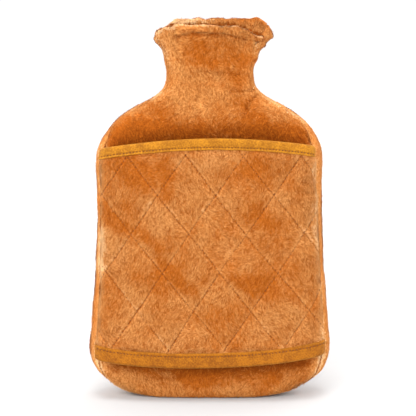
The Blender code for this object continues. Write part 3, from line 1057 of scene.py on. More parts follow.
@dataclass
class Pile:
    """Short pile, as leaning tufts of one face each. Its lengths are in millimetres.

    Attributes:
        name: Name of the piece.
        seed: Start of its random numbers.
        count: Number of tufts.
        width: Their width at the root.
        length: Their usual length.
        cloth_light: Lightness of the cloth that they grow on, low as painted shade under the tufts.
        cloth_contrast: How much lighter that cloth is under the curls.
        slant: Usual angle from upright, in degrees.
        short_slant: How much flatter the shortest tufts lie.
        slant_spread: How much that angle differs from tuft to tuft.
        curl_slant: How much steeper the tufts of a curl stand.
        curl_rise: How much higher their roots are.
        curl_pale: How much paler they are.
        palest: Most paleness of a tuft that is not on an edge.
        lengths: Shortest and longest tuft, as a share of the usual one.
        widths: Narrowest and widest tuft, as a share of the usual one.
        stray: How far tufts stray from the lie of the nap.
        ruffle: How much the light falls differently on neighbours.
        root_light: Lightness at the root, below that of the tip as painted shade between the tufts.
        tip_light: Lightness at the tip.
        contrast: How much lighter the curls are than the gaps, at the tips.
        root_contrast: The same at the roots, as a share of that.
        speckle: How much lightness differs from tuft to tuft.
        lowest: Least height of a tip and of a root over the floor.
        map_margin: Free margin of the map, and half the width of a tuft on it.
    """
    name: str
    seed: int
    count: int
    width: float = 0.5
    length: float = 2.5
    cloth_light: float = 0.50
    cloth_contrast: float = 0.2
    slant: float = 74.0
    short_slant: float = 16.0
    slant_spread: float = 6.0
    curl_slant: float = 5.0
    curl_rise: float = 0.25
    curl_pale: float = 0.20
    palest: float = 0.77
    lengths: Span = (0.7, 1.2)
    widths: Span = (0.7, 1.3)
    stray: float = 0.12
    ruffle: float = 0.28
    root_light: float = 0.55
    tip_light: float = 0.72
    contrast: float = 0.60
    root_contrast: float = 0.4
    speckle: float = 0.14
    lowest: Span = (0.1, 0.2)
    map_margin: float = 0.004

    @staticmethod
    def model_tuft() -> Model:
        """Model one tuft, from its root at the origin to its tip one unit along the first axis."""
        deselect()
        bpy.ops.mesh.primitive_circle_add(vertices=3, radius=1.0, fill_type="NGON")
        tuft = bpy.context.object
        with editing():
            bpy.ops.transform.translate(value=(0.0, 0.5, 0.0))
            bpy.ops.transform.resize(
                value=(1 / math.sqrt(3), 2 / 3, 1.0), center_override=(0.0, 0.0, 0.0))
        corners = Model.take(tuft).corners[:, (1, 0, 2)]
        order = [np.argmax(corners[:, 1]), np.argmin(corners[:, 1]), np.argmax(corners[:, 0])]
        return Model(corners[order], [(0, 1, 2)])

    def cover(self, surface: Surface, coat: Coat, finishes: tuple[Material, Material],
              slot: SlotName, node: str) -> Object:
        """Dress a laid cloth and grow its pile.

        Args:
            surface: The cloth's surface.
            coat: What the pile is like at each vertex.
            finishes: Materials of the cloth and of the pile.
            slot: The record's slot of both.
            node: Solid that the cloth stands for.

        Returns:
            The pile as a mesh object at the origin.
        """
        pale = np.clip(NAP.paleness(surface.places) + coat.pale, 0, 1)
        light = self.cloth_light + self.cloth_contrast * NAP.tuft_tone(surface.places) + coat.light
        write_numbers(surface.cloth.data, "paleness", pale)
        write_numbers(surface.cloth.data, "light", light)
        dress(surface.cloth, finishes[0], slot, node)
        return dress(self.grow(surface, coat), finishes[1], slot)

    def grow(self, surface: Surface, coat: Coat) -> Object:
        """Grow the pile.

        Args:
            surface: The cloth's surface.
            coat: What the pile is like at each vertex.

        Returns:
            The pile as a mesh object at the origin.
        """
        rng = np.random.default_rng(self.seed)
        corners, shares = surface.scatter(self.count, coat.density, rng)

        def here(values: Array) -> Array:
            """Read a value of the cloth at each tuft."""
            return np.einsum("nk,nk...->n...", shares, values[corners])

        roots, outward = here(surface.places), unit(here(surface.normals))
        tone, share, added = NAP.tuft_tone(roots), here(coat.length), here(coat.light)
        brushed = np.minimum(NAP.paleness(roots) + self.curl_pale * tone, self.palest)
        pale = np.clip(brushed + here(coat.pale), 0.0, 1.0)
        scatter = rng.normal(size=(self.count, 3))
        flatter = self.slant + self.short_slant * (1.0 - np.minimum(share, 1.0))
        spread = self.slant_spread * rng.normal(size=self.count)
        slant = np.radians(flatter + spread - self.curl_slant * tone)[:, None]
        lean = NAP.lean(roots, outward)
        way = unit(outward * np.cos(slant) + lean * np.sin(slant) + self.stray * scatter)
        way *= (self.length * share * rng.uniform(*self.lengths, self.count))[:, None]
        side = unit(np.cross(outward, way))
        side *= (self.width * rng.uniform(*self.widths, self.count))[:, None]
        roots = roots + outward * (self.curl_rise * tone * share)[:, None]
        low_tip, low_root = self.lowest
        roots[:, 2] = np.maximum(roots[:, 2], low_root)
        way[:, 2] = np.maximum(way[:, 2], low_tip - roots[:, 2])
        piece = self.model_tuft().copy(self.name, roots, way, side, outward * 0.0)

        added = added + self.speckle * rng.normal(size=self.count)
        # Roots are painted darker than tips, as shade between the tufts.
        root_light = self.root_light + self.root_contrast * self.contrast * tone + added
        tip_light = self.tip_light + self.contrast * NAP.tuft_tone(roots + way) + added
        self.map(piece.data, pale, root_light, tip_light)
        normals = unit(outward + self.ruffle * scatter)
        piece.data.normals_split_custom_set_from_vertices(np.repeat(normals, 3, axis=0))
        return piece

    def map(self, mesh: Mesh, pale: Array, root: Array, tip: Array) -> None:
        """Map the tufts with their paleness across the map and their light up it."""
        u = np.stack([pale - self.map_margin, pale + self.map_margin, pale], axis=1)
        places = np.stack([u, np.stack([root, root, tip], axis=1)], axis=2)
        write_map(mesh, BAKE_MAP, np.clip(places, self.map_margin, 1.0 - self.map_margin))


class Face(Enum):
    """Which panel a cut is for."""
    FRONT = "front_panel"
    BACK = "back_panel"


@dataclass
class Panel:
    """The front or the back of the cover, with the turned collar that belongs to it.

    Attributes:
        face: Which of the two.
        creases: Its folds and creases.
        flat: Width and length that it was cut to, in metres. Not used.
        area: Area of the cut in square metres. Not used.
        tufts: Number of tufts of pile.
        tuft_width: Their width.
        rim_rise: How much higher the rim stands than the form's.
        notch_widths: How far the rim's dips at the left and the right seam spread.
        lobes: Sideways place, rise and width of each lobe or dip of the rim.
        notches: How far the rim dips at the left and the right seam.
        columns: Faces across the cloth.
        rows: Faces up the cloth.
        plush: Thickness of the cloth.
        pile_depth: How far its outside lies below the form, as room for the pile.
        collar_hem: Thickness of the cloth at the collar's turned hem.
        hem_rows: Rows over which the hem thickens.
        hem_tips: Share of the half width, from each side, over which it does.
        rim_rows: Rows over which the rim is rounded off.
        rim_flat: Least roundness that is left at its very edge.
        tucked: Heights over which the tuck of the side seams sets in, and over which it ends.
        collar_rows: Rows over which the neck becomes the collar.
        collar_pile_rows: Rows over which pile starts on the inside of the collar.
        frill: How far the collar's frills stand out, and how far they rise.
        unevenness: How deep the dents and the lumps are.
        smooth_base: Heights over which the base becomes as uneven as the rest.
        lobe_row: Row at which the lobes start.
        notch_row: Row at which the dips at the seams start.
        seam_gap: Gap between the two panels along a seam.
        seam_leaves_base: Row below which the seam runs under the middle of the base.
        behind: Half width of the pocket, behind which little pile grows.
        dents: Noise of broad dents.
        lumps: Noise of small lumps.
        ragged: Noise of the collar's frills.
    """
    face: Face
    creases: tuple[Crease, ...]
    flat: Span
    area: float
    tufts: int
    tuft_width: float
    rim_rise: float
    notch_widths: Span
    lobes: tuple[tuple[float, float, float], ...] = ()
    notches: Span = (2.0, 11.0)
    columns: int = 110
    rows: int = 180
    plush: float = 3.0
    pile_depth: float = 0.9
    collar_hem: float = 6.5
    hem_rows: Span = (20.6, 21.8)
    hem_tips: Span = (0.15, 0.60)
    rim_rows: float = 0.8
    rim_flat: float = 0.02
    tucked: tuple[Span, ...] = ((8.0, 40.0), (250.0, 234.0))
    collar_rows: Span = (20.0, 22.0)
    collar_pile_rows: Span = (20.4, 20.9)
    frill: Span = (0.9, 1.1)
    unevenness: Span = (0.9, 0.35)
    smooth_base: Span = (2.0, 14.0)
    lobe_row: float = 20.6
    notch_row: float = 20.0
    seam_gap: float = 0.36
    seam_leaves_base: float = 3.0
    behind: float = 98.0
    dents: SoftNoise = noise(21, 28.0)
    lumps: SoftNoise = noise(22, 8.0)
    ragged: SoftNoise = noise(23, 5.5)

    def seams(self, row: Array) -> tuple[Array, Array]:
        """Angles of the seams at which the panel starts and ends."""
        left_seam, right_seam = FORM.seam_angles(row)
        if self.face is Face.FRONT:
            return left_seam, right_seam
        return right_seam, left_seam + 2 * math.pi

    def on_form(self, across: Array, up: Array) -> tuple[Array, ...]:
        """Row and angle on the form, and the distance from the nearest side seam."""
        row = up * LAST_ROW
        first, last = self.seams(row)
        angle = first + (last - first) * (across + 1) / 2
        nearest = FORM.point(row, np.where(across < 0, first, last))
        return row, angle, np.linalg.norm(FORM.point(row, angle) - nearest, axis=1)

    def places(self, across: Array, up: Array, through: Array) -> Array:
        """Lay the panel: across -1 to 1, up 0 to 1, through 1 outside, 0 inside."""
        row, angle, from_seam = self.on_form(across, up)
        point, around, outward = FORM.directions(row, angle)
        ring = FORM.ring_at(row)
        from_tip = 1 - np.abs(point[:, 0]) / np.where(point[:, 0] > 0, ring.right, ring.left)
        hem = ease(*self.hem_rows, row) * ease(*self.hem_tips, from_tip)
        thickness = self.plush + (self.collar_hem - self.plush) * hem
        over = np.clip(row - (LAST_ROW - self.rim_rows), 0.0, self.rim_rows) / self.rim_rows
        rounding = np.sqrt(np.maximum(1 - over**2, self.rim_flat))
        inset = self.pile_depth * through * rounding
        depth = thickness * (0.5 - (through - 0.5) * rounding) + inset

        beside = ease(*self.tucked[0], point[:, 2]) * ease(*self.tucked[1], point[:, 2])
        tuck = SEAM_TUCK * bump(from_seam, SEAM_TUCK_WIDTH) * beside
        collar, (dent, lump) = ease(*self.collar_rows, row), self.unevenness
        uneven = dent * self.dents.at(point) + lump * self.lumps.at(point)
        uneven += self.frill[0] * collar * self.ragged.at(point)
        clear = ease(*self.smooth_base, point[:, 2])
        lift = (crease_lift(point, self.creases) + uneven) * clear - tuck - depth
        right = point[:, 0] > 0
        notch = np.where(right, self.notches[1], self.notches[0])
        notch = notch * ease(self.notch_row, LAST_ROW, row)
        spread = np.where(right, self.notch_widths[1], self.notch_widths[0])
        frill = self.frill[1] * collar * self.ragged.at(point + 50.0) * ease(0.0, 6.0, from_seam)
        lobes = sum(high * bump(point[:, 0] - middle, wide) for middle, high, wide in self.lobes)
        rise = frill + (self.rim_rise * collar + lobes * ease(self.lobe_row, LAST_ROW, row))
        point[:, 2] += rise - notch * bump(from_seam, spread)
        aside = seam_side(across) * self.seam_gap / 2
        laid = point + outward * lift[:, None] - around * aside[:, None]
        if self.face is Face.FRONT:
            laid[:, 1] = np.minimum(laid[:, 1], -self.seam_gap / 2)
        else:
            low = row < self.seam_leaves_base
            laid[:, 1] = np.where(low, np.maximum(laid[:, 1], self.seam_gap / 2), laid[:, 1])
        laid[:, 2] = np.maximum(laid[:, 2], 0.0)
        return laid

    def build(self, looks: Looks) -> Object:
        """Lay the cloth and grow its pile.

        Args:
            looks: The finishes.

        Returns:
            The cloth.
        """
        marks = ((0.0, 0.0), (0.14, 0.17), (0.30, 0.32), (0.52, 0.50), (0.80, 0.86), (1.0, 1.0))
        cut = Cut(self.face.value + "_cloth", self.columns, self.rows, marks)
        cloth = cut.lay(self.places)
        surface = Surface(cloth)
        coat = self.coat(surface.places, *cut.pattern.T)
        pile = Pile(self.face.value + "_pile", seed=40, count=self.tufts, width=self.tuft_width)
        finishes = looks.plush, looks.plush_pile
        tufts = pile.cover(surface, coat, finishes, SlotName.PLUSH, self.face.value)
        return cloth

    def coat(self, places: Array, across: Array, up: Array, through: Array) -> Coat:
        """Say what the pile is like over the panel.

        Args:
            places: The laid cloth's vertices.
            across: Their places across the cut.
            up: Their places up the cut.
            through: 1 on the outside, 0 on the inside.

        Returns:
            The coat.
        """
        row, _, from_seam = self.on_form(across, up)
        front, outside = self.face is Face.FRONT, through > 0.5
        x, wide, height = places[:, 0], np.abs(places[:, 0]), places[:, 2]
        light, pale = np.zeros(len(places)), np.zeros(len(places))
        density = np.where(outside, 1.0, ease(*self.collar_pile_rows, row))
        density *= height > RESTING
        if front:
            # Behind the pocket hardly any pile grows, and over and under it shade is painted in:
            # the pile is darker and less pale towards the tapes.
            hidden = ease(44.0, 58.0, height) * ease(222.0, 208.0, height)
            density *= 1 - 0.97 * hidden * ease(self.behind, self.behind - 10.0, wide)
            middle = np.clip(1 - (wide / self.behind) ** 2, 0.0, 1.0)
            above, below = height - (231.0 + 9.0 * middle), (39.0 - 6.5 * middle) - height
            for away, dark, reach in ((above, 0.32, 25.0), (below, 0.52, 17.0)):
                under = ease(reach, 0.0, away) * ease(-30.0, -20.0, away)
                under *= ease(self.behind + 1.0, self.behind - 14.0, wide)
                light -= dark * under
                pale -= 0.45 * under

        # Painted highlight, paler and lighter, along the turned edge beside each seam and along the
        # sides, less so on the neck.
        sewn = ease(240.0, 228.0, height) * ease(4.0, 20.0, height)
        seam_edge_highlight = bump(from_seam - 2.0, 1.3) * sewn * outside
        side_highlight = bump(from_seam, 7.0) * outside * (1 - 0.6 * ease(276.0, 290.0, height))
        side_highlight *= 1.0 if front else 1.45
        light += 0.15 * seam_edge_highlight + 0.14 * side_highlight - 0.6 * bump(from_seam, 0.8) * sewn
        pale += 0.20 * seam_edge_highlight + 0.30 * side_highlight

        # Painted shade in the sharp creases, a painted highlight on the rim and its lip, palest on
        # the left and less pale on the back's right, and painted shade on the collar's inside.
        sharp = tuple(crease for crease in self.creases if crease.width < 4.0)
        rim = ease(LAST_ROW - 1.0, LAST_ROW - 0.3, row)
        lip_highlight, left = ease(LAST_ROW - 0.5, LAST_ROW - 0.2, row), ease(14.0, -14.0, x)
        light += 0.20 * crease_lift(places, sharp) * outside + 0.10 * rim
        light -= 0.65 * (1 - outside) * ease(1.5, -0.5, height - self.sill(x))
        if front:
            pale += 0.30 * lip_highlight + 0.10 * rim * left
        else:
            # Painted highlight on the back rim's lip and inside, on the left.
            inner = np.maximum(lip_highlight, rim * (1 - outside)) * left
            pale += 0.62 * inner - 0.25 * rim * ease(5.0, 30.0, x)
            light += 0.10 * inner

        flat_side = 0.5 * bump(from_seam - 6.0, 7.0) * ease(6.0, 20.0, height)
        length = 0.85 + 0.15 * ease(0.0, 4.0, height) + 0.15 * rim - flat_side * (1 - 0.4 * rim)
        return Coat(density, length, pale, light)

    @staticmethod
    def sill(x: Array) -> Array:
        """Height of the front rim, below which the inside of the collar has painted shade."""
        return 345.3 - 9.0 * ease(18.0, 50.0, x)


@dataclass
class Quilt:
    """The stitch lines that cross the pocket, two families of slanting lines.

    Attributes:
        width: Width of a diamond.
        half_height: Half of its height.
        top: Height at which a row of diamonds has its tips.
        start: Sideways shift of the quilting there.
        total: How much further it has shifted a depth lower.
        depth: Height over which it does.
        curve: How unevenly it does, 1 being even.
        wave: Size of the long and of the short wave in a line that is sewn by hand.
        wave_length: Height over which each of those waves turns by one radian.
        wave_shift: How much each wave differs from one line to the next, in radians.
        family_step: Line numbers between the two families, so that their waves differ.
    """
    width: float = 51.5
    half_height: float = 35.2
    top: float = 225.0
    start: float = 4.35
    total: float = 10.0
    depth: float = 176.0
    curve: float = 1.4
    wave: Span = (0.6, 0.2)
    wave_length: Span = (23.0, 8.3)
    wave_shift: Span = (2.3, 4.1)
    family_step: int = 9

    def drift(self, height: Array) -> Array:
        """Sideways shift of the quilting, which leans as it runs down the pocket."""
        share = np.clip((self.top - height) / self.depth, 0.0, None)
        return self.start + self.total * share**self.curve

    def wander(self, line: Array | int, height: Array) -> Array:
        """How far a line sewn by hand strays sideways."""
        waves = zip(self.wave, self.wave_length, self.wave_shift)
        return sum(size * np.sin(height / length + shift * line) for size, length, shift in waves)

    def from_stitch(self, x: Array, height: Array) -> tuple[Array, Array]:
        """Distance from the nearest stitch line of each family."""
        pitch = 1 / math.hypot(1 / self.width, 0.5 / self.half_height)
        sideways = (x - self.drift(height)) / self.width + 0.5
        downward = (self.top - height) / self.half_height / 2
        found = []
        for lean in (-1, 1):
            place = sideways + lean * downward
            line = np.round(place)
            stray = self.wander(line + self.family_step * lean, height) / self.width
            found.append((place - line - stray) * pitch)
        return found[0], found[1]

    def line_x(self, line: int, lean: int, height: Array) -> Array:
        """Where a stitch line crosses each height."""
        downward = (self.top - height) / self.half_height / 2
        stray = self.wander(line + self.family_step * lean, height)
        return self.drift(height) + stray + self.width * (line - 0.5 - lean * downward)


class Edge(NamedTuple):
    """An edge of the pocket: mean height at its sides, tilt, and bow at the centre."""
    level: float
    tilt: float
    bow: float

    def height(self, across: Array) -> Array:
        """Height of the edge at each place across the pocket."""
        return self.level + self.tilt * across + self.bow * (1 - across**2)


TOP_EDGE = Edge(229.8, 1.3, 8.3)
BOTTOM_EDGE = Edge(41.2, 2.4, -6.5)
HALF_POCKET = 100.0     # about half the pocket's width


@dataclass
class Pocket:
    """The quilted hand pocket, with its stitching and its pile.

    Attributes:
        quilt: Its stitch lines.
        columns: Faces across the cloth.
        rows: Faces up the cloth.
        flat: Width and length that it was cut to, in metres. Not used.
        area: Area of the cut in square metres. Not used.
        tufts: Number of tufts of pile.
        seam_gap: Gap between its inside and the body at the side seams.
        seam_lift: How much wider that gap is at the two mouths.
        mouth: Distances from a mouth over which the wider gap closes.
        tuck_share: Share of the half width over which it is tucked in at its sides.
        thin: Thickness along a stitch line.
        hollows: How much padding a sharp line and a soft hollow take, and how far each reaches.
        taped: Thickness inside the tapes.
        filling: Distances from a tape over which the padding fills out.
        side_share: Share of the half width over which it thins out to its sides.
        side_thin: How much thinner than inside the tapes it is there.
        unevenness: How deep the dents and the lumps are.
        arch: How square its arch from side to side is.
        levels: Heights between which it follows the body. Beyond them it keeps the depth there.
        top_tape: Width that the top tape covers.
        bottom_tape: Width that the bottom tape covers.
        trim: How far its sides are cut back from the side seams.
        pile_depth: How far its outside lies below the padding, as room for the pile.
        sewn_share: Share of the half width that is quilted.
        sewn_clear: Least distance of the quilting from a tape.
        sewn_heights: Heights between which stitches are looked for.
        lines: Numbers of the first stitch line of a family and of the one after the last.
        line_start: How much higher each line's stitches start than those of the line before.
        pitch: Distance from one stitch to the next.
        stitch_share: Share of that which is thread, and not cloth.
        thread: Thickness of the thread.
        creases: Its puckers.
        dents: Noise of broad dents.
        lumps: Noise of small lumps.
        pull: Noise of how tightly the thread is pulled.
    """
    quilt: Quilt = field(default_factory=Quilt)
    columns: int = 176
    rows: int = 160
    flat: Span = (0.225, 0.205)
    area: float = 0.0440
    tufts: int = 196000
    seam_gap: float = 0.6
    seam_lift: float = 1.5
    mouth: Span = (12.0, 26.0)
    tuck_share: float = 0.08
    thin: float = 2.0
    hollows: tuple[Span, ...] = ((0.4, 1.2), (0.6, 8.0))
    taped: float = 2.2
    filling: Span = (0.5, 5.0)
    side_share: float = 0.04
    side_thin: float = 0.4
    unevenness: Span = (0.6, 0.3)
    arch: float = 4.0
    levels: Span = (66.0, 214.0)
    top_tape: float = 7.6
    bottom_tape: float = 11.6
    trim: float = 0.18
    pile_depth: float = 0.8
    sewn_share: float = 0.985
    sewn_clear: float = 0.4
    sewn_heights: Span = (30.0, 240.0)
    lines: tuple[int, int] = (-6, 9)
    line_start: float = 0.3
    pitch: float = 3.4
    stitch_share: float = 0.70
    thread: float = 0.62
    creases: tuple[Crease, ...] = (
        Crease(((96.0, 189.0), (78.0, 193.0)), 2.6, -1.1),
        Crease(((96.0, 181.0), (76.0, 183.0)), 3.0, -0.9),
        Crease(((95.0, 196.0), (80.0, 203.0)), 2.6, -0.8),
        Crease(((97.0, 150.0), (84.0, 152.0)), 3.4, -0.8),
        Crease(((98.0, 128.0), (86.0, 130.0)), 3.0, -0.8),
        Crease(((-98.0, 176.0), (-78.0, 158.0)), 3.4, -0.7),
        Crease(((-99.0, 120.0), (-88.0, 118.0)), 3.4, -0.6),
        Crease(((-12.0, 222.0), (24.0, 219.0)), 5.0, 0.8),
    )
    dents: SoftNoise = noise(41, 24.0)
    lumps: SoftNoise = noise(42, 7.0)
    pull: SoftNoise = noise(43, 19.0)

    @staticmethod
    def sideways(across: Array, height: Array) -> Array:
        """Sideways place on the pocket, between the two side seams."""
        left, right = FORM.seam_widths(height)
        return left + (right - left) * (across + 1) / 2

    def body(self, across: Array, height: Array) -> tuple[Array, ...]:
        """Points of the body behind the pocket, the way round it and the way out."""
        x = self.sideways(across, height)
        level = FORM.row_at(np.clip(height, *self.levels))
        here = FORM.ring_at(FORM.row_at(height))
        share = np.abs(x) / np.where(x > 0, here.right, here.left)
        from_side = FORM.side_angle(share, FORM.ring_at(level).square)
        angle = np.where(x > 0, -from_side, -math.pi + from_side)
        point, around, outward = FORM.directions(level, angle)
        return np.stack([x, point[:, 1], height], axis=1), around, outward

    def stand(self, across: Array, height: Array) -> Array:
        """How far the inside of the pocket stands off the body."""
        down, rise = TOP_EDGE.height(across) - height, height - BOTTOM_EDGE.height(across)
        seam = self.seam_gap + self.seam_lift * (1 - ease(*self.mouth, np.minimum(down, rise)))
        tuck = SEAM_TUCK * (1 - ease(0.0, self.tuck_share, 1 - np.abs(across)))
        return seam + (POCKET_GAP - seam) * (1 - np.abs(across) ** self.arch) - tuck

    def on_body(self, across: Array, height: Array, stand: Array) -> Array:
        """Lay points over the body at a given stand, trimmed at the side seams."""
        point, around, outward = self.body(across, height)
        return point + outward * stand[:, None] - around * (seam_side(across) * self.trim)[:, None]

    def padding(self, x: Array, height: Array) -> Array:
        """Thickness of the quilted cloth, narrow at its stitch lines."""
        down, up = self.quilt.from_stitch(x, height)
        near = np.minimum(np.abs(down), np.abs(up))
        taken = sum(share * bump(near, reach) for share, reach in self.hollows)
        return POCKET_THICK - (POCKET_THICK - self.thin) * taken

    def flat_place(self, across: Array, up: Array) -> tuple[Array, ...]:
        """Sideways place and height on the pocket, and the heights of its two edges there."""
        low, high = BOTTOM_EDGE.height(across), TOP_EDGE.height(across)
        height = low + (high - low) * up
        return self.sideways(across, height), height, low, high

    def places(self, across: Array, up: Array, through: Array) -> Array:
        """Lay the pocket: across -1 to 1, up 0 to 1, through 0 inside, 1 outside."""
        x, height, low, high = self.flat_place(across, up)
        filled = np.minimum(ease(*self.filling, high - self.top_tape - height),
                            ease(*self.filling, height - low - self.bottom_tape))
        flat = np.stack([x, np.zeros(len(x)), height], axis=1)
        dent, lump = self.unevenness
        uneven = dent * self.dents.at(flat) + lump * self.lumps.at(flat)
        uneven += crease_lift(flat, self.creases)
        full = self.padding(x, height) + uneven - self.pile_depth
        thickness = self.taped + (full - self.taped) * filled
        at_side = 1 - ease(0.0, self.side_share, 1 - np.abs(across))
        thickness += (self.taped - self.side_thin - thickness) * at_side
        return self.on_body(across, height, self.stand(across, height) + thickness * through)

    def surface_at(self, x: Array, height: Array) -> tuple[Array, ...]:
        """Points on the pocket's outer face, the way out of it, and whether they can be sewn."""
        left, right = FORM.seam_widths(height)
        across = (2 * x - left - right) / (right - left)
        low, high = BOTTOM_EDGE.height(across), TOP_EDGE.height(across)
        up = (height - low) / (high - low)
        kept = np.abs(across) < self.sewn_share
        kept &= high - self.top_tape - height > self.sewn_clear
        kept &= height - low - self.bottom_tape > self.sewn_clear
        across = np.clip(across, -1, 1)
        place = self.places(across, np.clip(up, 0, 1), np.ones(len(x)))
        return place, self.body(across, height)[2], kept

    def build(self, looks: Looks) -> Object:
        """Lay the pocket, sew it and grow its pile, with the finishes given."""
        cut = Cut("hand_pocket_cloth", self.columns, self.rows)
        cloth = cut.lay(self.places)
        coat = self.coat(*cut.pattern.T)
        pile = Pile("hand_pocket_pile", seed=77, count=self.tufts, width=0.46, length=2.3,
                    cloth_light=0.48)
        finishes = looks.quilted, looks.quilted_pile
        tufts = pile.cover(Surface(cloth), coat, finishes, SlotName.QUILTED, "hand_pocket")
        pieces = [tufts, self.sew(looks)]
        return cloth

    def coat(self, across: Array, up: Array, through: Array) -> Coat:
        """Say what the pile is like over the pocket.

        Args:
            across: Places across the cut, -1 to 1.
            up: Places up the cut, 0 to 1.
            through: 1 on the outside, 0 on the inside.

        Returns:
            The coat.
        """
        x, height, low, high = self.flat_place(across, up)
        flat = np.stack([x, np.zeros(len(x)), height], axis=1)
        down, rise = self.quilt.from_stitch(x, height)

        # Lines that fall to the right are sewn tighter than those that rise, here more, there less.
        # Along them the pile is thin and short with painted shade, and beside them a painted
        # highlight makes it pale.
        drawn = 0.5 * self.pull.at(flat)
        tight_down = np.clip(0.80 + drawn, 0.25, 1.0)
        tight_rise = np.clip(0.55 - drawn, 0.10, 0.85)
        line = np.maximum(tight_down * bump(down, 0.5), tight_rise * bump(rise, 0.45))
        drawn_in = np.maximum(tight_down * bump(down, 1.9), tight_rise * bump(rise, 1.7))
        lip_highlight = tight_down * bump(down - 1.7, 1.1) + (1.3 - tight_rise) * bump(rise + 1.9, 1.3)

        # The sides get a painted highlight, paler in a band, and most along their turned edge.
        from_side = (1 - np.abs(across)) * HALF_POCKET
        side_edge_highlight, side_band_highlight = bump(from_side - 2.4, 1.8), ease(11.0, 3.0, from_side)
        # Painted shade in the puckers, and a painted highlight on the one ridge.
        sharp = crease_lift(flat, self.creases)
        light = 0.24 * lip_highlight - 0.56 * line + 0.12 * side_edge_highlight + 0.19 * side_band_highlight + 0.14 * sharp
        pale = 0.10 * lip_highlight + 0.20 * side_edge_highlight + 0.22 * side_band_highlight
        outside = through > 0.5
        untaped = (high - height > self.top_tape - 0.3) & (height - low > self.bottom_tape - 0.3)
        density = outside * untaped * (1.0 - 0.75 * line)
        return Coat(density, 1.0 - 0.55 * drawn_in, pale, light * outside)

    def sew(self, looks: Looks) -> Object:
        """Sew the stitch lines, one short thread at a time."""
        sewn = []
        step = self.pitch / math.hypot(self.quilt.width / self.quilt.half_height / 2, 1.0)
        for lean in (-1, 1):
            for line in range(*self.lines):
                height = np.arange(*self.sewn_heights, step) + self.line_start * line
                first, out, kept = self.surface_at(self.quilt.line_x(line, lean, height), height)
                far = height + step * self.stitch_share
                second, _, kept_far = self.surface_at(self.quilt.line_x(line, lean, far), far)
                both = kept & kept_far
                sewn.append((first[both], second[both], out[both]))
        starts, ends, ways = (np.concatenate(parts) for parts in zip(*sewn))
        thread = Stitches("pocket_quilting_thread", self.thread).sew(starts, ends, ways)
        return dress(thread, looks.thread, SlotName.QUILTED)


@dataclass
class Stitches:
    """Short threads that rise from the cloth and go back into it.

    Attributes:
        name: Name of the piece.
        thickness: Thickness of the thread.
        rise: How far the middle of a stitch stands above its ends, in thicknesses.
    """
    name: str
    thickness: float
    rise: float = 1.4

    def model_stitch(self) -> Model:
        """Model one stitch, arched, from the origin to one unit along the first axis."""
        deselect()
        bpy.ops.mesh.primitive_uv_sphere_add(segments=5, ring_count=6, radius=0.5)
        stitch = bpy.context.object
        with editing():
            bpy.ops.mesh.normals_make_consistent(inside=False)
        model = Model.take(stitch)
        model.corners = model.corners[:, (2, 0, 1)]

        # A sphere is thin towards its poles. A thread stays full almost to its ends.
        share = model.corners[:, 0] * 2
        fuller = np.sqrt(np.clip(1.15 - share**2, 0.2, 1.0) / np.clip(1.0 - share**2, 0.05, 1.0))
        model.corners[:, 1:] *= 0.9 * fuller[:, None]
        model.corners[:, 2] += self.rise * (0.5 - share**2)
        model.corners[:, 0] += 0.5
        return model

    def sew(self, starts: Array, ends: Array, outward: Array) -> Object:
        """Sew a stitch from each start to each end.

        Args:
            starts: Where each stitch leaves the cloth.
            ends: Where it goes back.
            outward: The way out of the cloth.

        Returns:
            All the stitches as one mesh object.
        """
        along = ends - starts
        side = unit(np.cross(outward, along)) * self.thickness
        return self.model_stitch().copy(
            self.name, centred(starts), along, side, unit(outward) * self.thickness)


LEG = 0.25                  # share of a tape's cut in its outer leg
TAPE_HALF_LENGTH = 0.105    # of a tape, in metres, for its weave
TAPE_EDGE = 0.0003          # height of a tape's cut edge on its map, in metres


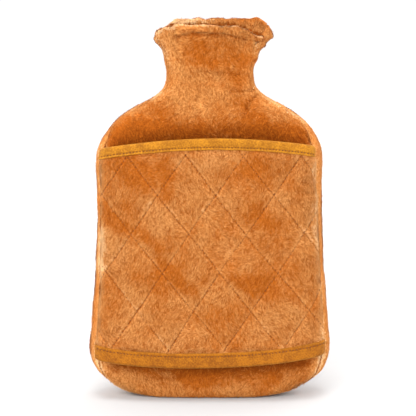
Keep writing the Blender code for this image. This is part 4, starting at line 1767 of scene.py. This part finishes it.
@dataclass
class Binding:
    """A folded tape over an edge of the pocket, with its line of stitches.

    Attributes:
        name: Name of the solid that it stands for.
        edge: The edge that it wraps.
        width: Width of its outer leg.
        inward: -1 where the pocket lies below the edge, 1 where it lies above.
        stitch_in: Distance of the stitches from the tape's cut edge.
        flat: Width and length that it was cut to, in metres. Not used.
        pocket: The pocket that it binds.
        columns: Faces along the tape.
        rows: Faces round it.
        thickness: Thickness of the tape.
        clear: Gap between the pocket's edge and the inside of the tape.
        inner_short: How much shorter the inner leg is than the outer one.
        pitch: Distance from one stitch to the next.
        dimple: How deep a stitch pulls the tape in.
        waver: How far the cut edge strays.
        puff: How far the outer leg puffs up between the stitches.
        sewn_in: How much thinner the tape is where the side seams catch it.
        sewn_share: Share of the half width from which they do.
        stitched: Where the line of stitches starts, ends, and steps, and its stitches' length, as
            shares of the half width.
        ripple: Noise of the tape's ripples.
    """
    name: str
    edge: Edge
    width: float
    inward: int
    stitch_in: float
    flat: Span
    pocket: Pocket
    columns: int = 280
    rows: int = 30
    thickness: float = 1.0
    clear: float = 0.5
    inner_short: float = 1.5
    pitch: float = 2.9
    dimple: float = 0.5
    waver: float = 0.35
    puff: float = 0.22
    sewn_in: float = 0.7
    sewn_share: float = 0.975
    stitched: tuple[float, float, float, float] = (-0.975, 0.972, 0.029, 0.016)
    ripple: SoftNoise = noise(61, 9.0)

    def places(self, across: Array, up: Array, through: Array) -> Array:
        """Lay the tape, from its outer cut edge round the pocket's edge to its inner one.

        The first quarter of up is the outer leg, the last one the inner leg, and between them lies
        the fold.

        Args:
            across: Places along the tape, -1 to 1.
            up: Places round it, 0 to 1.
            through: 1 on the outside, 0 on the inside.

        Returns:
            The places laid, in millimetres.
        """
        turn = np.clip(2 * up - 0.5, 0.0, 1.0) * math.pi
        along = across * HALF_POCKET
        flat = np.stack([along, np.zeros(len(along)), np.full(len(along), self.width)], axis=1)
        outer_width = self.width + self.waver * self.ripple.at(flat)
        outer_leg = outer_width * np.clip(1 - 4 * up, 0.0, 1.0)
        inner_leg = (self.width - self.inner_short) * np.clip(4 * up - 3, 0.0, 1.0)
        pulled = 0.6 + 0.4 * np.cos(along * 2 * math.pi / self.pitch)
        dimple = self.dimple * bump(self.from_stitch(up), 0.8) * pulled * (up < LEG)
        puff = self.puff * self.ripple.at(flat * 1.7 + 40.0) * (up < 0.4)
        sewn_in = self.sewn_in * ease(self.sewn_share, 1.0, np.abs(across))
        half, thickness = self.pocket.taped / 2, self.thickness - dimple + puff - sewn_in
        radius = half + self.clear + thickness * through
        inward = outer_leg + inner_leg - radius * np.sin(turn)
        height = self.edge.height(across) + self.inward * inward
        middle = self.pocket.stand(across, height) + half
        return self.pocket.on_body(across, height, middle + radius * np.cos(turn))

    def from_stitch(self, up: Array) -> Array:
        """Distance from the line of stitches towards the tape's cut edge."""
        return self.width * (1 - up / LEG) - (self.width - self.stitch_in)

    def build(self, looks: Looks, finish: Material) -> Object:
        """Lay the tape and sew it down.

        Args:
            looks: The finishes.
            finish: The tape's own finish.

        Returns:
            The tape.
        """
        marks = ((0.0, 0.0), (0.56, 0.25), (0.80, 0.75), (1.0, 1.0))
        cut = Cut(self.name + "_tape", self.columns, self.rows, marks)
        tape = cut.lay(self.places)
        self.map(cut, tape.data)
        up = cut.pattern[:, 1]
        outer = up < LEG
        from_stitch = np.where(outer, self.from_stitch(up), np.inf)

        # Painted highlight on the strip from the stitches to the cut edge, and painted shade in the
        # stitches' groove.
        lit_strip = ease(0.4, 1.2, from_stitch) * outer
        write_numbers(tape.data, "light", 0.08 * lit_strip - 0.12 * bump(from_stitch, 0.6))
        dress(tape, finish, SlotName.TAPE, self.name)
        thread = self.sew(looks)
        return tape

    def map(self, cut: Cut, mesh: Mesh) -> None:
        """Give the tape a second map in metres along and across it, for its weave."""
        across, up, through = cut.pattern[read(mesh.loops, "vertex_index", kind=int)].T
        run = [across * TAPE_HALF_LENGTH, up * 2 * self.width * MM + through * TAPE_EDGE]
        write_map(mesh, TAPE_MAP, np.stack(run, axis=1))
        mesh.uv_layers.active = mesh.uv_layers[BAKE_MAP]

    def sew(self, looks: Looks) -> Object:
        """Sew the tape's line of stitches."""
        first, last, step, length = self.stitched
        across = np.arange(first, last, step)
        up, through = np.full(len(across), LEG * self.stitch_in / self.width), np.ones(len(across))
        starts, ends = self.places(across, up, through), self.places(across + length, up, through)
        outward = self.pocket.body(across, self.edge.height(across))[2]
        stitches = Stitches(self.name + "_thread", thickness=1.0, rise=1.0)
        thread = stitches.sew(starts, ends, outward)
        return dress(thread, looks.thread, SlotName.TAPE)


# --- the studio -----------------------------------------------------------------------------------
@dataclass(frozen=True)
class Lamp:
    """A soft lamp far away.

    Attributes:
        name: Its name.
        place: Where it shines from.
        strength: Its strength.
        spread: How wide it looks from the cover, in degrees.
    """
    name: str
    place: tuple[float, float, float]
    strength: float
    spread: float

    def build(self) -> None:
        """Add the lamp."""
        data = bpy.data.lights.new(self.name, "SUN")
        data.energy, data.angle = self.strength, math.radians(self.spread)
        light = bpy.data.objects.new(self.name, data)
        light.location = self.place
        light.rotation_euler = Vector(self.place).to_track_quat("Z", "Y").to_euler()
        bpy.context.scene.collection.objects.link(light)


@dataclass(frozen=True)
class Studio:
    """Plain pale floor, soft light and a camera in front of the cover. Its sizes are in metres.

    Attributes:
        camera_place: Place of the camera.
        camera_pitch: How far it looks down, in degrees.
        lens: Its focal length in millimetres.
        sensor: Width of its sensor in millimetres.
        clip: Nearest and furthest that it sees.
        floor_size: Width of the floor.
        floor_drop: How far the floor lies under the base.
        floor: Brightness of the floor's paper.
        wall: Brightness of the air level with the cover and below.
        ceiling: Brightness of the air overhead.
        skyline: Heights of view between which one becomes the other, 1 being straight up.
        lamps: The lamps.
    """
    camera_place: tuple[float, float, float] = (-0.0014, -1.2, 0.300)
    camera_pitch: float = 5.93
    lens: float = 113.1
    sensor: float = 36.0
    clip: Span = (0.05, 60.0)
    floor_size: float = 14.0
    floor_drop: float = 0.0003
    floor: float = 0.60
    wall: float = 1.05
    ceiling: float = 0.38
    skyline: Span = (0.15, 0.5)
    lamps: tuple[Lamp, ...] = (
        Lamp("key", (-0.7, -1.6, 1.05), 2.65, 60.0),
        Lamp("fill", (1.2, -1.4, 0.5), 0.95, 90.0),
        Lamp("top", (0.0, -0.30, 1.6), 1.60, 28.0),
        Lamp("back", (0.4, 1.5, 1.2), 1.4, 80.0),
        Lamp("left_rim", (-1.5, 0.5, 0.3), 1.45, 80.0),
        Lamp("right_rim", (1.5, 0.6, 0.3), 1.5, 80.0),
    )

    def build(self) -> None:
        """Set up the floor, the light and the camera."""
        deselect()
        bpy.ops.mesh.primitive_plane_add(
            size=self.floor_size, location=(0.0, 0.0, -self.floor_drop))
        floor = bpy.context.object
        floor.name = "studio_floor"
        paper = MaterialBench("white_paper", {
            "Base Color": (self.floor, self.floor, self.floor, 1.0),
            "Roughness": 0.9, "Specular IOR Level": 0.0})
        floor.data.materials.append(paper.material)

        scene = bpy.context.scene
        scene.view_settings.view_transform = "Standard"
        scene.world = self.surroundings()

        for lamp in self.lamps:
            lamp.build()

        data = bpy.data.cameras.new("camera")
        data.lens, data.sensor_width = self.lens, self.sensor
        data.clip_start, data.clip_end = self.clip
        camera = bpy.data.objects.new("camera", data)
        camera.location = self.camera_place
        camera.rotation_euler = (math.radians(90.0 - self.camera_pitch), 0.0, 0.0)
        scene.collection.objects.link(camera)
        scene.camera = camera

    def surroundings(self) -> World:
        """Make white walls all round under a greyer ceiling."""
        world = bpy.data.worlds.new("studio_air")
        world.use_nodes = True
        bench = NodeBench(world.node_tree)
        way = bench.add("ShaderNodeSeparateXYZ")
        bench.feed(way, 0, bench.add("ShaderNodeTexCoord").outputs["Generated"])
        background = world.node_tree.nodes["Background"]
        bench.feed(background, "Color", (1.0, 1.0, 1.0, 1.0))
        strength = bench.spread(way.outputs[2], *self.skyline, self.wall, self.ceiling)
        bench.feed(background, "Strength", strength)
        return world


FRONT_CREASES = (
    Crease(((58.0, 332.0), (52.0, 325.0)), 5.0, 2.3),        # blunt roll of the right ear
    Crease(((-18.0, 303.0), (37.0, 303.0)), 6.0, 1.3),       # ridge round the neck
    Crease(((41.0, 283.0), (30.0, 268.0)), 6.0, -1.6),       # neck turning into the right shoulder
    Crease(((-40.0, 284.0), (-33.0, 271.0)), 6.0, -1.1),     # and into the left one
    Crease(((26.0, 258.0), (58.0, 255.0)), 7.0, 1.4),
    Crease(((-61.0, 17.0), (-20.0, 25.0)), 7.0, -1.5),       # crease low on the body
    Crease(((26.0, 24.0), (64.0, 18.0)), 7.0, -0.9),
    Crease(((-84.0, 250.0), (0.0, 258.0), (82.0, 251.0)), 11.0, 2.4),     # bulge over the pocket
    Crease(((-92.0, 226.0), (-50.0, 234.0), (0.0, 237.0), (50.0, 235.5), (90.0, 229.0)), 8.5, -3.4),
    Crease(((-92.0, 44.0), (0.0, 36.0), (92.0, 46.0)), 8.0, -2.4),        # mouth under the pocket
    Crease(((-30.0, 330.5), (-17.0, 333.6), (15.0, 333.8), (33.0, 329.5)), 1.6, -2.0),
    Crease(((46.0, 323.0), (43.5, 313.0)), 5.0, 2.6),        # flare under the right ear
    Crease(((42.0, 331.5), (46.0, 321.5)), 1.5, -2.0),       # where the front rim tucks under it
    Crease(((22.0, 285.0), (31.0, 282.6), (40.0, 284.5)), 1.5, -1.3),     # short ones on the neck
    Crease(((43.5, 280.0), (36.5, 273.5), (31.5, 263.5)), 1.5, -1.6),
    Crease(((-38.0, 257.0), (-30.0, 262.0)), 1.4, -0.9),
    Crease(((12.0, 248.5), (26.0, 247.5)), 1.4, -0.9),
    Crease(((-14.0, 300.5), (8.0, 299.0), (32.0, 298.5)), 1.6, -0.6),
    Crease(((82.0, 247.0), (93.0, 239.0)), 2.0, -1.4),       # puckers at the right shoulder
    Crease(((86.0, 252.0), (97.0, 243.0)), 1.8, -1.2),
    Crease(((79.0, 242.0), (88.0, 235.0)), 1.5, -1.2),
    Crease(((70.0, 262.0), (84.0, 252.0)), 1.4, -0.8),
    Crease(((-59.0, 16.0), (-40.0, 18.5), (-22.0, 23.5)), 1.6, -1.0),
    Crease(((78.0, 30.0), (92.0, 33.0)), 3.0, -1.2),
)
BACK_CREASES = (
    Crease(((58.0, 332.0), (52.0, 325.0)), 5.0, 2.3),
    Crease(((46.0, 323.0), (43.5, 313.0)), 5.0, 2.6),
    Crease(((-30.0, 276.0), (34.0, 279.0)), 9.0, -1.2),
    Crease(((-70.0, 236.0), (-38.0, 262.0)), 9.0, 1.2),
    Crease(((74.0, 240.0), (44.0, 262.0)), 9.0, 1.0),
    Crease(((-52.0, 22.0), (48.0, 19.0)), 8.0, -1.0),
    Crease(((-30.0, 337.0), (-10.0, 339.0), (24.0, 339.0), (38.0, 336.0)), 1.8, -1.8),
    Crease(((-44.0, 268.0), (-30.0, 282.0)), 2.6, -1.0),
    Crease(((46.0, 268.0), (30.0, 284.0)), 2.6, -1.1),
)


def main() -> None:
    """Build the cover and the studio."""
    logging.basicConfig(level=logging.INFO, format="%(message)s")
    looks = Looks()
    Studio().build()
    Panel(Face.FRONT, FRONT_CREASES, flat=(0.245, 0.395), area=0.0700, tufts=190000,
          tuft_width=0.50, rim_rise=0.6, notch_widths=(7.0, 14.0)).build(looks)
    Panel(Face.BACK, BACK_CREASES, flat=(0.290, 0.405), area=0.0880, tufts=196000,
          tuft_width=0.66, rim_rise=-1.0, notch_widths=(7.0, 4.5),
          lobes=((46.5, 4.6, 7.0), (59.0, -6.0, 3.6))).build(looks)
    pocket = Pocket()
    pocket.build(looks)
    Binding("pocket_top_binding", TOP_EDGE, pocket.top_tape, inward=-1, stitch_in=2.3,
            flat=(0.218, 0.018), pocket=pocket).build(looks, looks.top_tape)
    Binding("pocket_bottom_binding", BOTTOM_EDGE, pocket.bottom_tape, inward=1, stitch_in=3.0,
            flat=(0.228, 0.026), pocket=pocket).build(looks, looks.bottom_tape)


if __name__ == "__main__":
    main()
